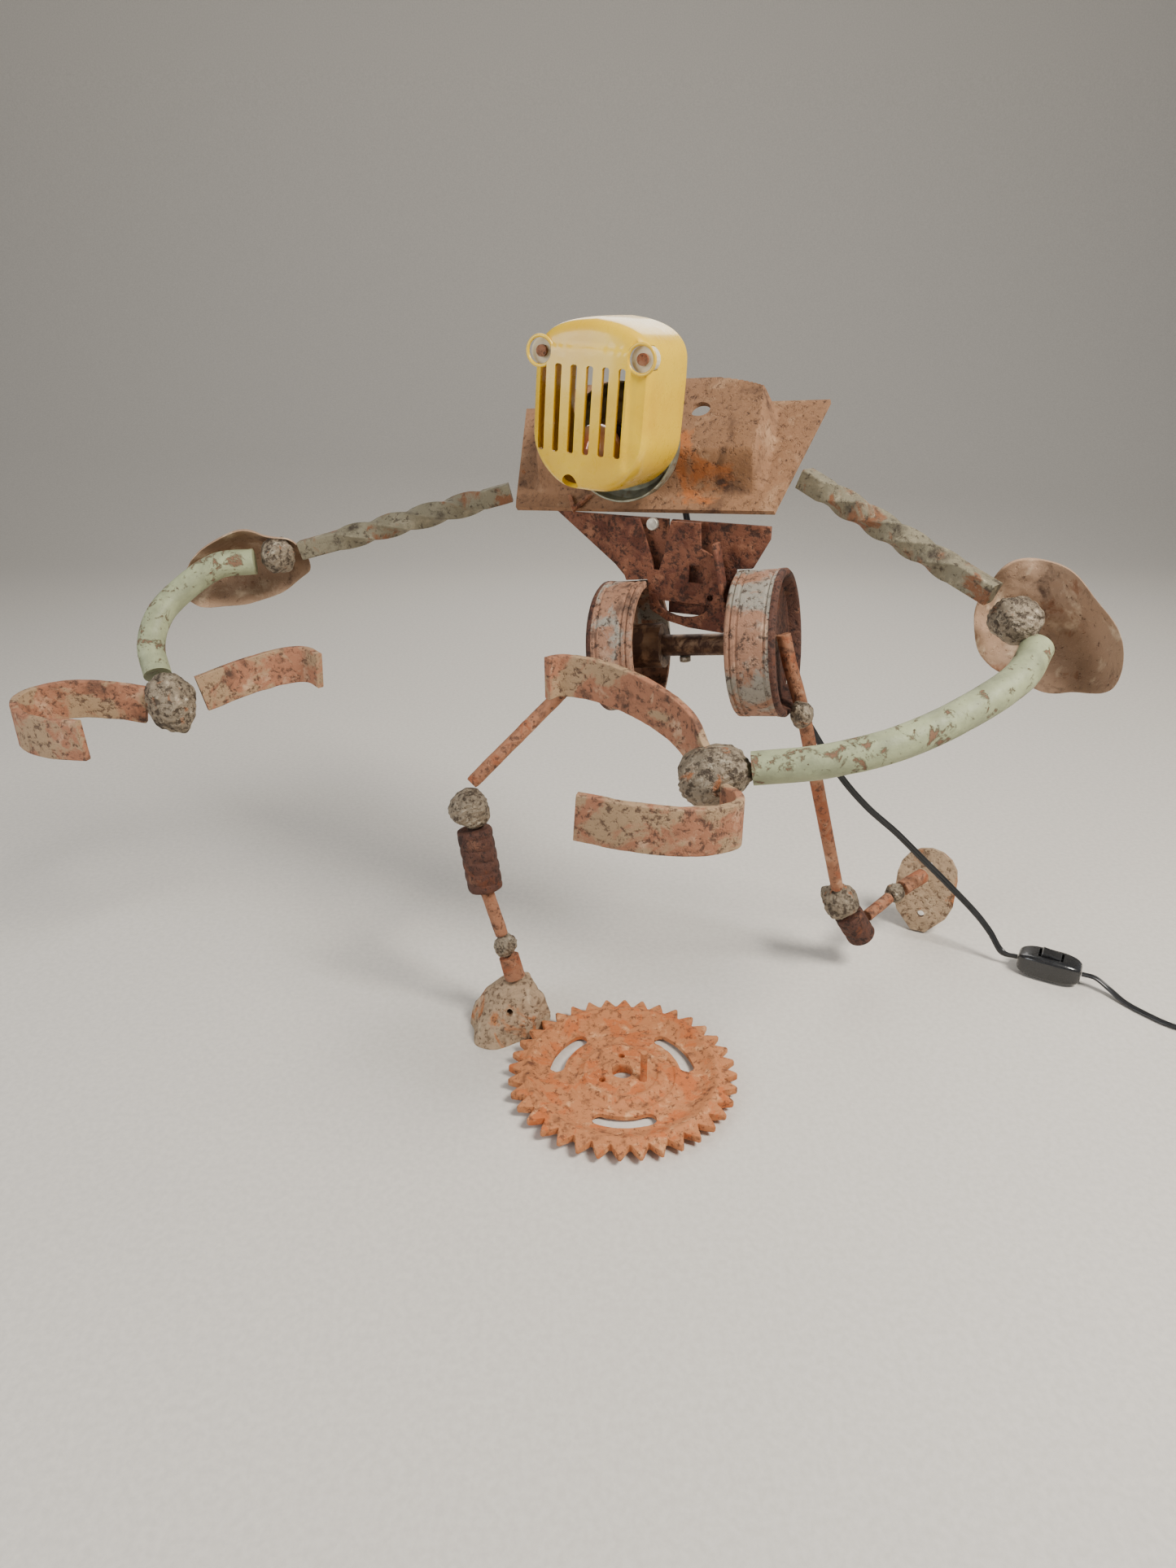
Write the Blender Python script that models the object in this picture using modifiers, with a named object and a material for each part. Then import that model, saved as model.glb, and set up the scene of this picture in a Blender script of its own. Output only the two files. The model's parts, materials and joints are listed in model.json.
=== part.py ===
"""A welded scrap metal robot lamp, striding, with a yellow engine cover for a head.

Run it with: blender --background --python part.py
Units are metres, +Z is up, and the robot faces -Y and a little to -X.  The origin is on the
floor, under the middle of the robot without its cord.
"""
import math

import bmesh
import bpy
from mathutils import Matrix, Vector, noise

MM = 0.001
GAP = 0.3 * MM                      # clearance wherever two pieces meet

# Rods and tubes
THIGH_ROD = 9.5 * MM                # diameters
SHIN_ROD = 9.5 * MM
ANKLE_ROD = 15.0 * MM
KNEE_SLEEVE = 25.4 * MM
KNEE_SLEEVE_LENGTH = 45.0 * MM
REAR_SLEEVE = 23.0 * MM
REAR_SLEEVE_LENGTH = 28.0 * MM
KNEE_WELD = 29.0 * MM
FOREARM_TUBE = 18.0 * MM
ARM_BAR = 12.7 * MM                 # square bar, across its flats
ARM_BAR_TURNS = 1.0

# Claws, cut from flat strap
STRAP_HEIGHT = 25.4 * MM
STRAP_THICKNESS = 4.8 * MM
ELBOW_CLEARANCE = 12.0 * MM          # left between the elbow weld and the tilted ends beside it
RIGHT_CLAW_WELD = (31.0 * MM, 31.0 * MM, 42.0 * MM)
LEFT_CLAW_WELD = (31.0 * MM, 31.0 * MM, 42.0 * MM)
ELBOW_WELD = 24.0 * MM
RIGHT_SHELL_SIZE = (92.0 * MM, 52.0 * MM, 14.0 * MM)
LEFT_SHELL_SIZE = (84.0 * MM, 66.0 * MM, 14.0 * MM)
SHELL_WALL = 3.2 * MM

# Sprocket that the front foot stands on
SPROCKET_TEETH = 36
SPROCKET_PITCH = 12.7 * MM
SPROCKET_WEB_HEIGHT = 2.0 * MM
SPROCKET_TOOTH_HEIGHT = 3.5 * MM
SPROCKET_TOOTH_THICKNESS = 6.0 * MM
SPROCKET_THICKNESS = 3.0 * MM                # the web
SPROCKET_RIM_HEIGHT = 11.0 * MM
SPROCKET_TOOTH_DEPTH = 9.0 * MM
SPROCKET_BORE = 14.0 * MM
SPROCKET_HUB = 56.0 * MM
SPROCKET_BOLT_CIRCLE = 32.0 * MM
SPROCKET_SLOT_WIDTH = 10.0 * MM
SPROCKET_SLOT_RADIUS = 45.0 * MM
SPROCKET_SLOT_ANGLE = math.radians(54)
SPROCKET_BOLT = 5.0 * MM
SPROCKET_TURN = math.radians(2)

# Hips
AXLE_TUBE = 14.5 * MM
AXLE_SPAN = 92.5 * MM               # between the middles of the two drums
LEFT_DRUM = 95.0 * MM
RIGHT_DRUM = 88.0 * MM
DRUM_WIDTH = 31.0 * MM
DRUM_WALL = 4.0 * MM
DRUM_DISH = 8.0 * MM                # how deep the outer face lies inside its rim
DRUM_WEB = 3.5 * MM
SET_SCREW = 7.5 * MM
HUB_DIAMETER = 30.0 * MM
HUB_WIDTH = 9.0 * MM

# Torso
TORSO_YAW = math.radians(-25.4)
HIP_YAW = math.radians(-21)
HIP_ROLL = math.radians(-7)
PLATE_BOTTOM = 182.0 * MM
PLATE_FLARE_RIGHT = 27.0 * MM       # how far each end flares by the top edge
PLATE_FLARE_LEFT = 15.0 * MM
PLATE_SLOPE = 95.0 * MM
PLATE_LEAN = math.radians(51)
PLATE_ROLL = math.radians(-2.9)
PLATE_THICKNESS = 4.0 * MM
DOME_WIDTH = 164.0 * MM
DOME_HEIGHT = 21.0 * MM
DOME_HOLE = 13.0 * MM
CHEST_SHEET = 3.0 * MM

# Head
HEAD_WIDTH = 74.0 * MM
HEAD_HEIGHT = 96.0 * MM
HEAD_DEPTH = 60.0 * MM
HEAD_WALL = 2.5 * MM
HEAD_YAW = math.radians(-24)
HEAD_ROLL = math.radians(4)
HEAD_SLOTS = 6
SLOT_WIDTH = 4.2 * MM
SLOT_PITCH = 9.6 * MM
SLOT_HEIGHT = 47.0 * MM
SLOT_OFFSET = -4.0 * MM
CUP_DIAMETER = 72.0 * MM
CUP_DEPTH = 17.0 * MM
CUP_WALL = 1.6 * MM
HOLDER_DIAMETER = 24.0 * MM
HOLDER_LENGTH = 24.0 * MM
BULB_DIAMETER = 28.0 * MM
BULB_BASE = 12.0 * MM
HOLDER_BACK = 8.0 * MM
NECK_PIPE = 9.6 * MM
PIPE_WALL = 1.5 * MM
NECK_LENGTH = 64.0 * MM
NECK_NUT = 16.0 * MM
NUT_HEIGHT = 6.0 * MM

# Boot and rear foot
BOOT_HEIGHT = 34.0 * MM
FOOT_WIDTH = 48.0 * MM
FOOT_HEIGHT = 72.0 * MM
FOOT_THICKNESS = 6.5 * MM
FOOT_HOLE = 6.0 * MM

# Cord
CORD_WIDTH = 5.2 * MM
COIL_TURN = 62.0 * MM               # mid diameter of the turns
COIL_WIDTH = 22.0 * MM
COIL_HEIGHT = 10.5 * MM
SWITCH_LENGTH = 46.0 * MM
SWITCH_WIDTH = 23.0 * MM
SWITCH_HEIGHT = 19.0 * MM
ROCKER = (14.5 * MM, 11.0 * MM, 5.0 * MM)
ROCKER_ROOM = 1.75 * MM             # at each end of the rocker
ROCKER_TILT = math.radians(8)

# Places, measured from a point on the floor between the feet
ORIGIN = Vector((0.0032, 0.0172, 0.0))             # the part's origin, in these places
HIP = Vector((0.1010, 0.0550, 0.2730))
PLATE_FOOT = Vector((0.0609, 0.0760, 0.3588))      # middle of the shoulder plate's lower edge
HEAD = Vector((0.0400, 0.0340, 0.4240))
SPROCKET = Vector((0.0523, -0.0560, 0.0))
BOOT = Vector((-0.0310, 0.0000, 0.0))
BOOT_TOP = Vector((-0.0230, 0.0100, BOOT_HEIGHT))
FRONT_SHIN_WELD = Vector((-0.0304, 0.0140, 0.0620))
FRONT_SLEEVE_LOW = Vector((-0.0430, 0.0195, 0.1060))
FRONT_KNEE = Vector((-0.0535, 0.0290, 0.1700))
REAR_KNEE = Vector((0.2235, 0.0720, 0.0640))
REAR_SLEEVE_END = Vector((0.2470, 0.0785, 0.0270))
REAR_SHIN_WELD = Vector((0.2790, 0.1095, 0.0488))
FOOT_NORMAL = Vector((0.42, 0.87, -0.24))
REAR_FOOT = Vector((0.3140, 0.1370, 0.0350))
RIGHT_SHOULDER = Vector((-0.0255, 0.1330, 0.3610))
RIGHT_ELBOW = Vector((-0.1760, 0.1280, 0.3215))
RIGHT_CLAW = Vector((-0.2500, 0.0410, 0.2375))
LEFT_SHOULDER = Vector((0.1640, 0.0560, 0.3800))
LEFT_ELBOW = Vector((0.2570, -0.0330, 0.3280))
RIGHT_SHELL = Vector((-0.2190, 0.1330, 0.3090))
LEFT_SHELL = Vector((0.2890, -0.0330, 0.3080))
LEFT_CLAW = Vector((0.0945, -0.1105, 0.2510))
SWITCH = Vector((0.3925, 0.0640, 0.0))
SWITCH_HEADING = math.radians(-30)

RIGHT_FOREARM = [(-0.2080, 0.1200, 0.3150), (-0.2330, 0.1150, 0.3130), (-0.2540, 0.1030, 0.3000),
                (-0.2680, 0.0880, 0.2850), (-0.2700, 0.0700, 0.2680), (-0.2620, 0.0540, 0.2520)]
LEFT_FOREARM = [(0.2760, -0.0580, 0.3040), (0.2569, -0.0830, 0.2944), (0.2210, -0.1050, 0.2819),
                 (0.1850, -0.1180, 0.2713), (0.1491, -0.1200, 0.2627), (0.1140, -0.1145, 0.2565)]
RIGHT_HOOK = [(-0.2660, 0.0385, 0.2365), (-0.2893, 0.0370, 0.2405), (-0.3122, 0.0310, 0.2430),
             (-0.3270, 0.0170, 0.2430), (-0.3290, 0.0000, 0.2425), (-0.3180, -0.0190, 0.2410),
             (-0.2960, -0.0320, 0.2405), (-0.2715, -0.0380, 0.2415)]
RIGHT_JAW = [(-0.2330, 0.0505, 0.2400), (-0.2075, 0.0680, 0.2465), (-0.1845, 0.0810, 0.2500),
            (-0.1690, 0.0830, 0.2505), (-0.1575, 0.0730, 0.2490)]
LEFT_HOOK = [(0.0985, -0.1260, 0.2400), (0.1040, -0.1380, 0.2405), (0.1000, -0.1510, 0.2415),
              (0.0790, -0.1590, 0.2425), (0.0515, -0.1590, 0.2450), (0.0230, -0.1510, 0.2470)]
LEFT_JAW = [(0.0905, -0.0920, 0.2500), (0.0822, -0.0740, 0.2625), (0.0619, -0.0500, 0.2709),
             (0.0354, -0.0310, 0.2762), (0.0139, -0.0230, 0.2770), (0.0050, -0.0290, 0.2770)]

# The cord: from the neck pipe down behind the hips to the switch, then on to its coil
CORD_UPPER = [(0.0788, 0.1303, 0.4002), (0.0845, 0.1430, 0.4000), (0.0905, 0.1565, 0.3955),
              (0.0955, 0.1665, 0.3800), (0.0995, 0.1705, 0.3550), (0.1060, 0.1690, 0.3250),
              (0.1190, 0.1600, 0.2910), (0.1400, 0.1450, 0.2570), (0.1640, 0.1300, 0.2280),
              (0.1890, 0.1210, 0.2030), (0.2090, 0.1175, 0.1740), (0.2260, 0.1150, 0.1490),
              (0.2480, 0.1120, 0.1250), (0.2728, 0.1100, 0.1037), (0.2937, 0.1080, 0.0836),
              (0.3187, 0.1030, 0.0600), (0.3400, 0.0955, 0.0395), (0.3520, 0.0885, 0.0255),
              (0.3619, 0.0817, 0.0105), (0.3723, 0.0757, 0.0098)]
CORD_LOWER = [(0.4127, 0.0523, 0.0098), (0.4214, 0.0473, 0.0094), (0.4290, 0.0390, 0.0056),
              (0.4350, 0.0280, 0.0032), (0.4430, 0.0155, 0.0030), (0.4565, 0.0000, 0.0030),
              (0.4740, -0.0085, 0.0030), (0.4950, -0.0131, 0.0030), (0.5166, -0.0186, 0.0030)]
COIL = Vector((0.5050, -0.0620, 0.0))

HEAD_GROUP = ("head_cover", "left_head_clip", "right_head_clip", "left_head_screw",
              "right_head_screw", "lamp_cup", "lamp_holder", "neck_nut", "bulb_base",
              "bulb_glass")

PARTS = "scrap_robot_lamp"
CUTTERS = "cutters"


# ---------------------------------------------------------------- scene and materials

def clear_scene():
    for item in list(bpy.data.objects):
        bpy.data.objects.remove(item, do_unlink=True)
    for name in (PARTS, CUTTERS):
        bpy.context.scene.collection.children.link(bpy.data.collections.new(name))


def finish(name, colour, roughness, metallic):
    """A Principled material of one colour."""
    made = bpy.data.materials.new(name)
    made.use_nodes = True
    shader = made.node_tree.nodes["Principled BSDF"]
    shader.inputs["Base Color"].default_value = (*colour, 1.0)
    shader.inputs["Roughness"].default_value = roughness
    shader.inputs["Metallic"].default_value = metallic
    made.diffuse_color = (*colour, 1.0)
    return made


FINISHES = {
    "plate_rust": ((0.36, 0.20, 0.11), 0.85, 0.3),
    "chest_rust": ((0.17, 0.06, 0.03), 0.8, 0.3),
    "rod_rust": ((0.50, 0.22, 0.10), 0.7, 0.3),
    "strap_rust": ((0.45, 0.19, 0.08), 0.75, 0.3),
    "sprocket_rust": ((0.52, 0.16, 0.06), 0.9, 0.2),
    "sleeve_rust": ((0.14, 0.06, 0.04), 0.8, 0.3),
    "casting_rust": ((0.34, 0.19, 0.11), 0.85, 0.3),
    "weld_slag": ((0.10, 0.09, 0.07), 0.8, 0.5),
    "bar_patina": ((0.24, 0.22, 0.17), 0.7, 0.4),
    "shell_rust": ((0.45, 0.28, 0.16), 0.8, 0.2),
    "sage_paint": ((0.38, 0.46, 0.20), 0.6, 0.1),
    "drum_rust": ((0.40, 0.20, 0.11), 0.8, 0.3),
    "axle_steel": ((0.22, 0.14, 0.09), 0.5, 0.7),
    "galvanised": ((0.42, 0.43, 0.36), 0.5, 0.8),
    "bright_zinc": ((0.60, 0.58, 0.52), 0.35, 1.0),
    "head_yellow": ((0.85, 0.62, 0.07), 0.25, 0.0),
    "clip_ivory": ((0.75, 0.72, 0.60), 0.5, 0.0),
    "lamp_glass": ((0.85, 0.80, 0.72), 0.1, 0.0),
    "holder_black": ((0.03, 0.03, 0.03), 0.4, 0.0),
    "cord_black": ((0.02, 0.02, 0.02), 0.45, 0.0),
}


# ---------------------------------------------------------------- placing and shaping

def frame_at(origin, x_axis, z_axis):
    """A placement with +X along x_axis and +Z as near z_axis as it can be."""
    x_axis = Vector(x_axis).normalized()
    y_axis = Vector(z_axis).cross(x_axis).normalized()
    z_axis = x_axis.cross(y_axis)
    turn = Matrix((x_axis, y_axis, z_axis)).transposed().to_4x4()
    return Matrix.Translation(origin) @ turn


def along(start, end):
    """A placement at start with +Z pointing at end."""
    heading = (Vector(end) - Vector(start)).normalized()
    return Matrix.Translation(start) @ heading.to_track_quat('Z', 'X').to_matrix().to_4x4()


def towards(start, end, distance):
    return Vector(start) + (Vector(end) - Vector(start)).normalized() * distance


def smooth_path(points, spacing):
    """Evenly spaced points on a smooth curve through the given ones."""
    knots = [Vector(p) for p in points]
    knots = [2 * knots[0] - knots[1], *knots, 2 * knots[-1] - knots[-2]]
    fine = []
    for a, b, c, d in zip(knots, knots[1:], knots[2:], knots[3:]):
        for step in range(24):
            t = step / 24
            fine.append(0.5 * (2 * b + (c - a) * t + (2 * a - 5 * b + 4 * c - d) * t * t
                               + (3 * b - a - 3 * c + d) * t ** 3))
    fine.append(knots[-2])
    lengths = [0.0]
    for p, q in zip(fine, fine[1:]):
        lengths.append(lengths[-1] + (q - p).length)
    count = max(2, round(lengths[-1] / spacing))
    path, i = [], 0
    for k in range(count + 1):
        goal = lengths[-1] * k / count
        while i < len(fine) - 2 and lengths[i + 1] < goal:
            i += 1
        share = (goal - lengths[i]) / (lengths[i + 1] - lengths[i])
        path.append(fine[i].lerp(fine[i + 1], min(1.0, share)))
    return path


def add_object(name, data, finish_name, placement=None, collection=PARTS):
    """Link one object, with its material and its place."""
    item = bpy.data.objects.new(name, data)
    bpy.data.collections[collection].objects.link(item)
    if placement is not None:
        item.matrix_world = placement
    if collection == CUTTERS:
        item.hide_render = True
        item.display_type = 'WIRE'
    elif finish_name is not None:
        data.materials.append(bpy.data.materials[finish_name])
    return item


def mesh_from(shape, name, smooth=True, closed=True):
    """A mesh from a bmesh, with round faces shaded smooth and a solid's faces turned outwards."""
    if closed:
        bmesh.ops.recalc_face_normals(shape, faces=shape.faces)
    data = bpy.data.meshes.new(name)
    shape.to_mesh(data)
    shape.free()
    if smooth:
        data.shade_smooth()
        data.set_sharp_from_angle(angle=math.radians(35))
    return data


def cylinder(name, placement, diameter, length, finish_name=None, sides=20, end_diameter=None,
             collection=PARTS):
    """A cylinder or cone from the placement's origin along its +Z."""
    shape = bmesh.new()
    top = diameter if end_diameter is None else end_diameter
    bmesh.ops.create_cone(shape, cap_ends=True, segments=sides, radius1=diameter / 2,
                          radius2=top / 2, depth=length)
    bmesh.ops.translate(shape, vec=(0, 0, length / 2), verts=shape.verts)
    return add_object(name, mesh_from(shape, name), finish_name, placement, collection)


def rod(name, start, end, diameter, finish_name, sides=14, end_diameter=None):
    length = (Vector(end) - Vector(start)).length
    return cylinder(name, along(start, end), diameter, length, finish_name, sides, end_diameter)


def block(name, placement, size, finish_name=None, collection=PARTS, bevel=0.0):
    """A box centred on the placement, with its edges rounded by bevel."""
    shape = bmesh.new()
    bmesh.ops.create_cube(shape, size=1.0)
    bmesh.ops.scale(shape, vec=size, verts=shape.verts)
    item = add_object(name, mesh_from(shape, name, smooth=False), finish_name, placement,
                      collection)
    if bevel:
        rounded = item.modifiers.new("rounded_edges", 'BEVEL')
        rounded.width = bevel
        rounded.segments = 2
    return item


def weld(name, placement, size, finish_name="weld_slag", roughness=0.13, detail=2):
    """A crusty lump that stays inside an ellipsoid of the given size."""
    shape = bmesh.new()
    bmesh.ops.create_icosphere(shape, subdivisions=detail, radius=0.5)
    offset = Vector([ord(letter) for letter in name[-3:]])
    for vert in shape.verts:
        pit = 0.5 + 0.5 * noise.noise(vert.co * 5.0 + offset)
        vert.co *= 1.0 - roughness * min(1.0, max(0.0, pit))
    bmesh.ops.scale(shape, vec=size, verts=shape.verts)
    return add_object(name, mesh_from(shape, name), finish_name, placement)


def turned(name, placement, profile, finish_name, steps=32, collection=PARTS):
    """A solid turned about +Z from a closed profile of (radius, height) points."""
    shape = bmesh.new()
    verts = [shape.verts.new((radius, 0.0, height)) for radius, height in profile]
    on_axis = profile[0][0] == 0.0 and profile[-1][0] == 0.0
    last = len(verts) - 1 if on_axis else len(verts)
    for i in range(last):
        shape.edges.new((verts[i], verts[(i + 1) % len(verts)]))
    data = bpy.data.meshes.new(name)
    shape.to_mesh(data)
    shape.free()
    item = add_object(name, data, finish_name, placement, collection)
    screw = item.modifiers.new("turned", 'SCREW')
    screw.steps = screw.render_steps = steps
    screw.use_merge_vertices = True
    screw.merge_threshold = 0.00001
    screw.use_smooth_shade = True
    return item


def ring(name, placement, outer, inner, length, finish_name, steps=32):
    """A plain tube from the placement's origin along its +Z."""
    profile = [(outer / 2, length), (outer / 2, 0.0), (inner / 2, 0.0), (inner / 2, length)]
    return turned(name, placement, profile, finish_name, steps)


def sheet(name, placement, outline, thickness, finish_name, holes=()):
    """A flat sheet in the placement's XY plane, with its holes."""
    data = bpy.data.curves.new(name, 'CURVE')
    data.dimensions = '2D'
    data.fill_mode = 'BOTH'
    data.extrude = thickness / 2
    for loop in (outline, *holes):
        spline = data.splines.new('POLY')
        spline.points.add(len(loop) - 1)
        for point, (x, y) in zip(spline.points, loop):
            point.co = (x, y, 0.0, 1.0)
        spline.use_cyclic_u = True
    return add_object(name, data, finish_name, placement)


def tube(name, path, diameter, finish_name, resolution=4):
    """A round bar or cord along a list of points."""
    data = bpy.data.curves.new(name, 'CURVE')
    data.dimensions = '3D'
    data.bevel_depth = diameter / 2
    data.bevel_resolution = resolution
    data.use_fill_caps = True
    spline = data.splines.new('POLY')
    spline.points.add(len(path) - 1)
    for point, place in zip(spline.points, path):
        point.co = (*place, 1.0)
    return add_object(name, data, finish_name)


def surface(name, placement, rows, finish_name, thickness, offset=0.0, closed=False, pole=None):
    """An open sheet through rows of points, given a wall by Solidify.

    Seen from its outer side, the rows run upwards and each row runs from left to right.
    """
    shape = bmesh.new()
    grid = [[shape.verts.new(point) for point in row] for row in rows]
    wrap = len(grid[0]) if closed else len(grid[0]) - 1
    for near, far in zip(grid, grid[1:]):
        for i in range(wrap):
            j = (i + 1) % len(near)
            corners = (near[i], near[j], far[j], far[i])
            shape.faces.new(corners[::-1] if closed else corners)
    if pole is not None:
        tip = shape.verts.new(pole)
        for i in range(wrap):
            shape.faces.new((tip, grid[0][i], grid[0][(i + 1) % len(grid[0])]))
    item = add_object(name, mesh_from(shape, name, closed=False), finish_name, placement)
    wall = item.modifiers.new("wall", 'SOLIDIFY')
    wall.thickness = thickness
    wall.offset = offset
    return item


def cut(item, cutter):
    hole = item.modifiers.new(cutter.name, 'BOOLEAN')
    hole.operation = 'DIFFERENCE'
    hole.object = cutter


def join(item, other):
    """Union other, a helper in the cutters' collection, into item."""
    union = item.modifiers.new(other.name, 'BOOLEAN')
    union.operation = 'UNION'
    union.object = other


def as_mesh(item):
    """Turn a curve object into a mesh object whose caps are welded."""
    bpy.context.view_layer.update()
    evaluated = item.evaluated_get(bpy.context.evaluated_depsgraph_get())
    data = bpy.data.meshes.new_from_object(evaluated)
    shape = bmesh.new()
    shape.from_mesh(data)
    bmesh.ops.remove_doubles(shape, verts=shape.verts, dist=0.00001)
    shape.to_mesh(data)
    shape.free()
    name, place, homes = item.name, item.matrix_world.copy(), list(item.users_collection)
    bpy.data.objects.remove(item, do_unlink=True)
    made = bpy.data.objects.new(name, data)
    homes[0].objects.link(made)
    made.matrix_world = place
    return made


def rest_on_floor(item):
    """Lower or raise an object until its lowest point is on the floor."""
    bpy.context.view_layer.update()
    evaluated = item.evaluated_get(bpy.context.evaluated_depsgraph_get())
    mesh = evaluated.to_mesh()
    lowest = min((item.matrix_world @ vert.co).z for vert in mesh.vertices)
    evaluated.to_mesh_clear()
    item.location.z -= lowest


def arc(centre, radius, start, end, count):
    """Points on an arc, between two angles in degrees."""
    points = []
    for i in range(count):
        angle = math.radians(start + (end - start) * i / (count - 1))
        points.append((centre[0] + radius * math.cos(angle), centre[1] + radius * math.sin(angle)))
    return points


# ---------------------------------------------------------------- sprocket and boot

def kidney(middle_angle):
    """The outline of one curved slot in the sprocket's web."""
    half = SPROCKET_SLOT_ANGLE / 2
    outer = SPROCKET_SLOT_RADIUS + SPROCKET_SLOT_WIDTH / 2
    inner = SPROCKET_SLOT_RADIUS - SPROCKET_SLOT_WIDTH / 2
    points = []
    for radius, sign in ((outer, 1), (inner, -1)):
        for i in range(7):
            angle = middle_angle + sign * half * (i / 3 - 1)
            points.append((radius * math.cos(angle), radius * math.sin(angle)))
    return points


def sprocket_radius():
    """Radius over the tooth tips, from the pitch and the number of teeth."""
    pitch_radius = SPROCKET_PITCH / (2 * math.sin(math.pi / SPROCKET_TEETH))
    return pitch_radius + SPROCKET_TOOTH_DEPTH / 2


def as_cutter(item):
    """Move a helper mesh to the cutters' collection."""
    bpy.data.collections[PARTS].objects.unlink(item)
    bpy.data.collections[CUTTERS].objects.link(item)
    item.hide_render = True
    item.display_type = 'WIRE'
    return item


def build_sprocket():
    """A dished sprocket: its hub on the floor, its toothed ring held clear of it."""
    tip = sprocket_radius()
    root = tip - SPROCKET_TOOTH_DEPTH
    outline = []
    for tooth in range(SPROCKET_TEETH):
        for radius, share in ((root, 0.08), (tip, 0.42), (tip, 0.58), (root, 0.92)):
            angle = 2 * math.pi * (tooth + share) / SPROCKET_TEETH
            outline.append((radius * math.cos(angle), radius * math.sin(angle)))
    middle = SPROCKET_TOOTH_HEIGHT + SPROCKET_TOOTH_THICKNESS / 2
    place = Matrix.Translation(SPROCKET)
    inside = arc((0, 0), root - 5 * MM, 0, 350, 36)
    turn = Matrix.Rotation(SPROCKET_TURN, 4, 'Z')
    wheel = as_mesh(sheet("sprocket_foot", place @ Matrix.Translation((0, 0, middle)) @ turn,
                          outline, SPROCKET_TOOTH_THICKNESS, "sprocket_rust", [inside]))
    join(wheel, build_web(place, root))
    for angle in (-90, 30, 150):
        slot = sheet(f"kidney_{angle % 360}", place, kidney(math.radians(angle)), 40 * MM, None)
        cut(wheel, as_cutter(as_mesh(slot)))
    for angle in (90, 210, 330):
        spoke = Matrix.Rotation(math.radians(angle), 4, 'Z')
        hole = place @ spoke @ Matrix.Translation((SPROCKET_BOLT_CIRCLE / 2, 0, -5 * MM))
        cut(wheel, cylinder(f"bolt_hole_{angle}", hole, SPROCKET_BOLT, 30 * MM, sides=10,
                            collection=CUTTERS))


def build_web(place, root):
    """The turned body inside the teeth: a hub, a thin dished web and a ridge."""
    web, top = SPROCKET_WEB_HEIGHT, SPROCKET_WEB_HEIGHT + SPROCKET_THICKNESS
    tooth_low = SPROCKET_TOOTH_HEIGHT + 1 * MM
    tooth_top = SPROCKET_TOOTH_HEIGHT + SPROCKET_TOOTH_THICKNESS
    hub_top = tooth_top - 1.5 * MM
    outer, hub, bore = root - 1.5 * MM, SPROCKET_HUB / 2, SPROCKET_BORE / 2
    profile = [(outer, tooth_top + 1 * MM), (outer, tooth_low), (outer - 10 * MM, web),
               (hub + 1 * MM, web), (hub, 0.0), (bore, 0.0), (bore, hub_top),
               (hub - 2 * MM, hub_top), (hub + 3 * MM, top), (outer - 14 * MM, top),
               (outer - 7 * MM, tooth_top), (outer - 3 * MM, SPROCKET_RIM_HEIGHT)]
    return turned("sprocket_body", place, profile, None, 48, CUTTERS)


def build_boot():
    """The cast boot hugs the sprocket's teeth, with its flat sole on the floor."""
    rings = [(0.0, 0.030, 0.024, 0.0), (0.012, 0.029, 0.023, 0.001), (0.022, 0.022, 0.018, 0.004),
             (0.030, 0.014, 0.012, 0.007), (BOOT_HEIGHT, 0.0105, 0.0095, 0.0085)]
    shape = bmesh.new()
    lean = BOOT_TOP - BOOT
    levels = []
    for height, half_x, half_y, shift in rings:
        row = []
        for i in range(18):
            angle = 2 * math.pi * i / 18
            square = (math.cos(angle) ** 4 + math.sin(angle) ** 4) ** -0.25
            share = min(1.0, square / 1.12)
            row.append(shape.verts.new((BOOT.x + lean.x * height / BOOT_HEIGHT
                                        + half_x * share * math.cos(angle + 0.35),
                                        BOOT.y + lean.y * height / BOOT_HEIGHT
                                        + half_y * share * math.sin(angle + 0.35) + shift * 0.3,
                                        height)))
        levels.append(row)
    for low, high in zip(levels, levels[1:]):
        for i in range(18):
            j = (i + 1) % 18
            shape.faces.new((low[i], low[j], high[j], high[i]))
    shape.faces.new(levels[0])
    shape.faces.new(levels[-1])
    boot = add_object("boot_casting", mesh_from(shape, "boot_casting"), "casting_rust")
    room = cylinder("sprocket_room", Matrix.Translation(SPROCKET - Vector((0, 0, 0.01))),
                    2 * (sprocket_radius() + GAP), BOOT_HEIGHT + 0.02, sides=72, collection=CUTTERS)
    cut(boot, room)
    eye = cylinder("boot_eye_room", along(BOOT + Vector((0.004, -0.050, 0.021)),
                                          BOOT + Vector((0.004, 0.060, 0.021))),
                   5 * MM, 0.1, sides=12, collection=CUTTERS)
    cut(boot, eye)


# ---------------------------------------------------------------- legs

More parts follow.
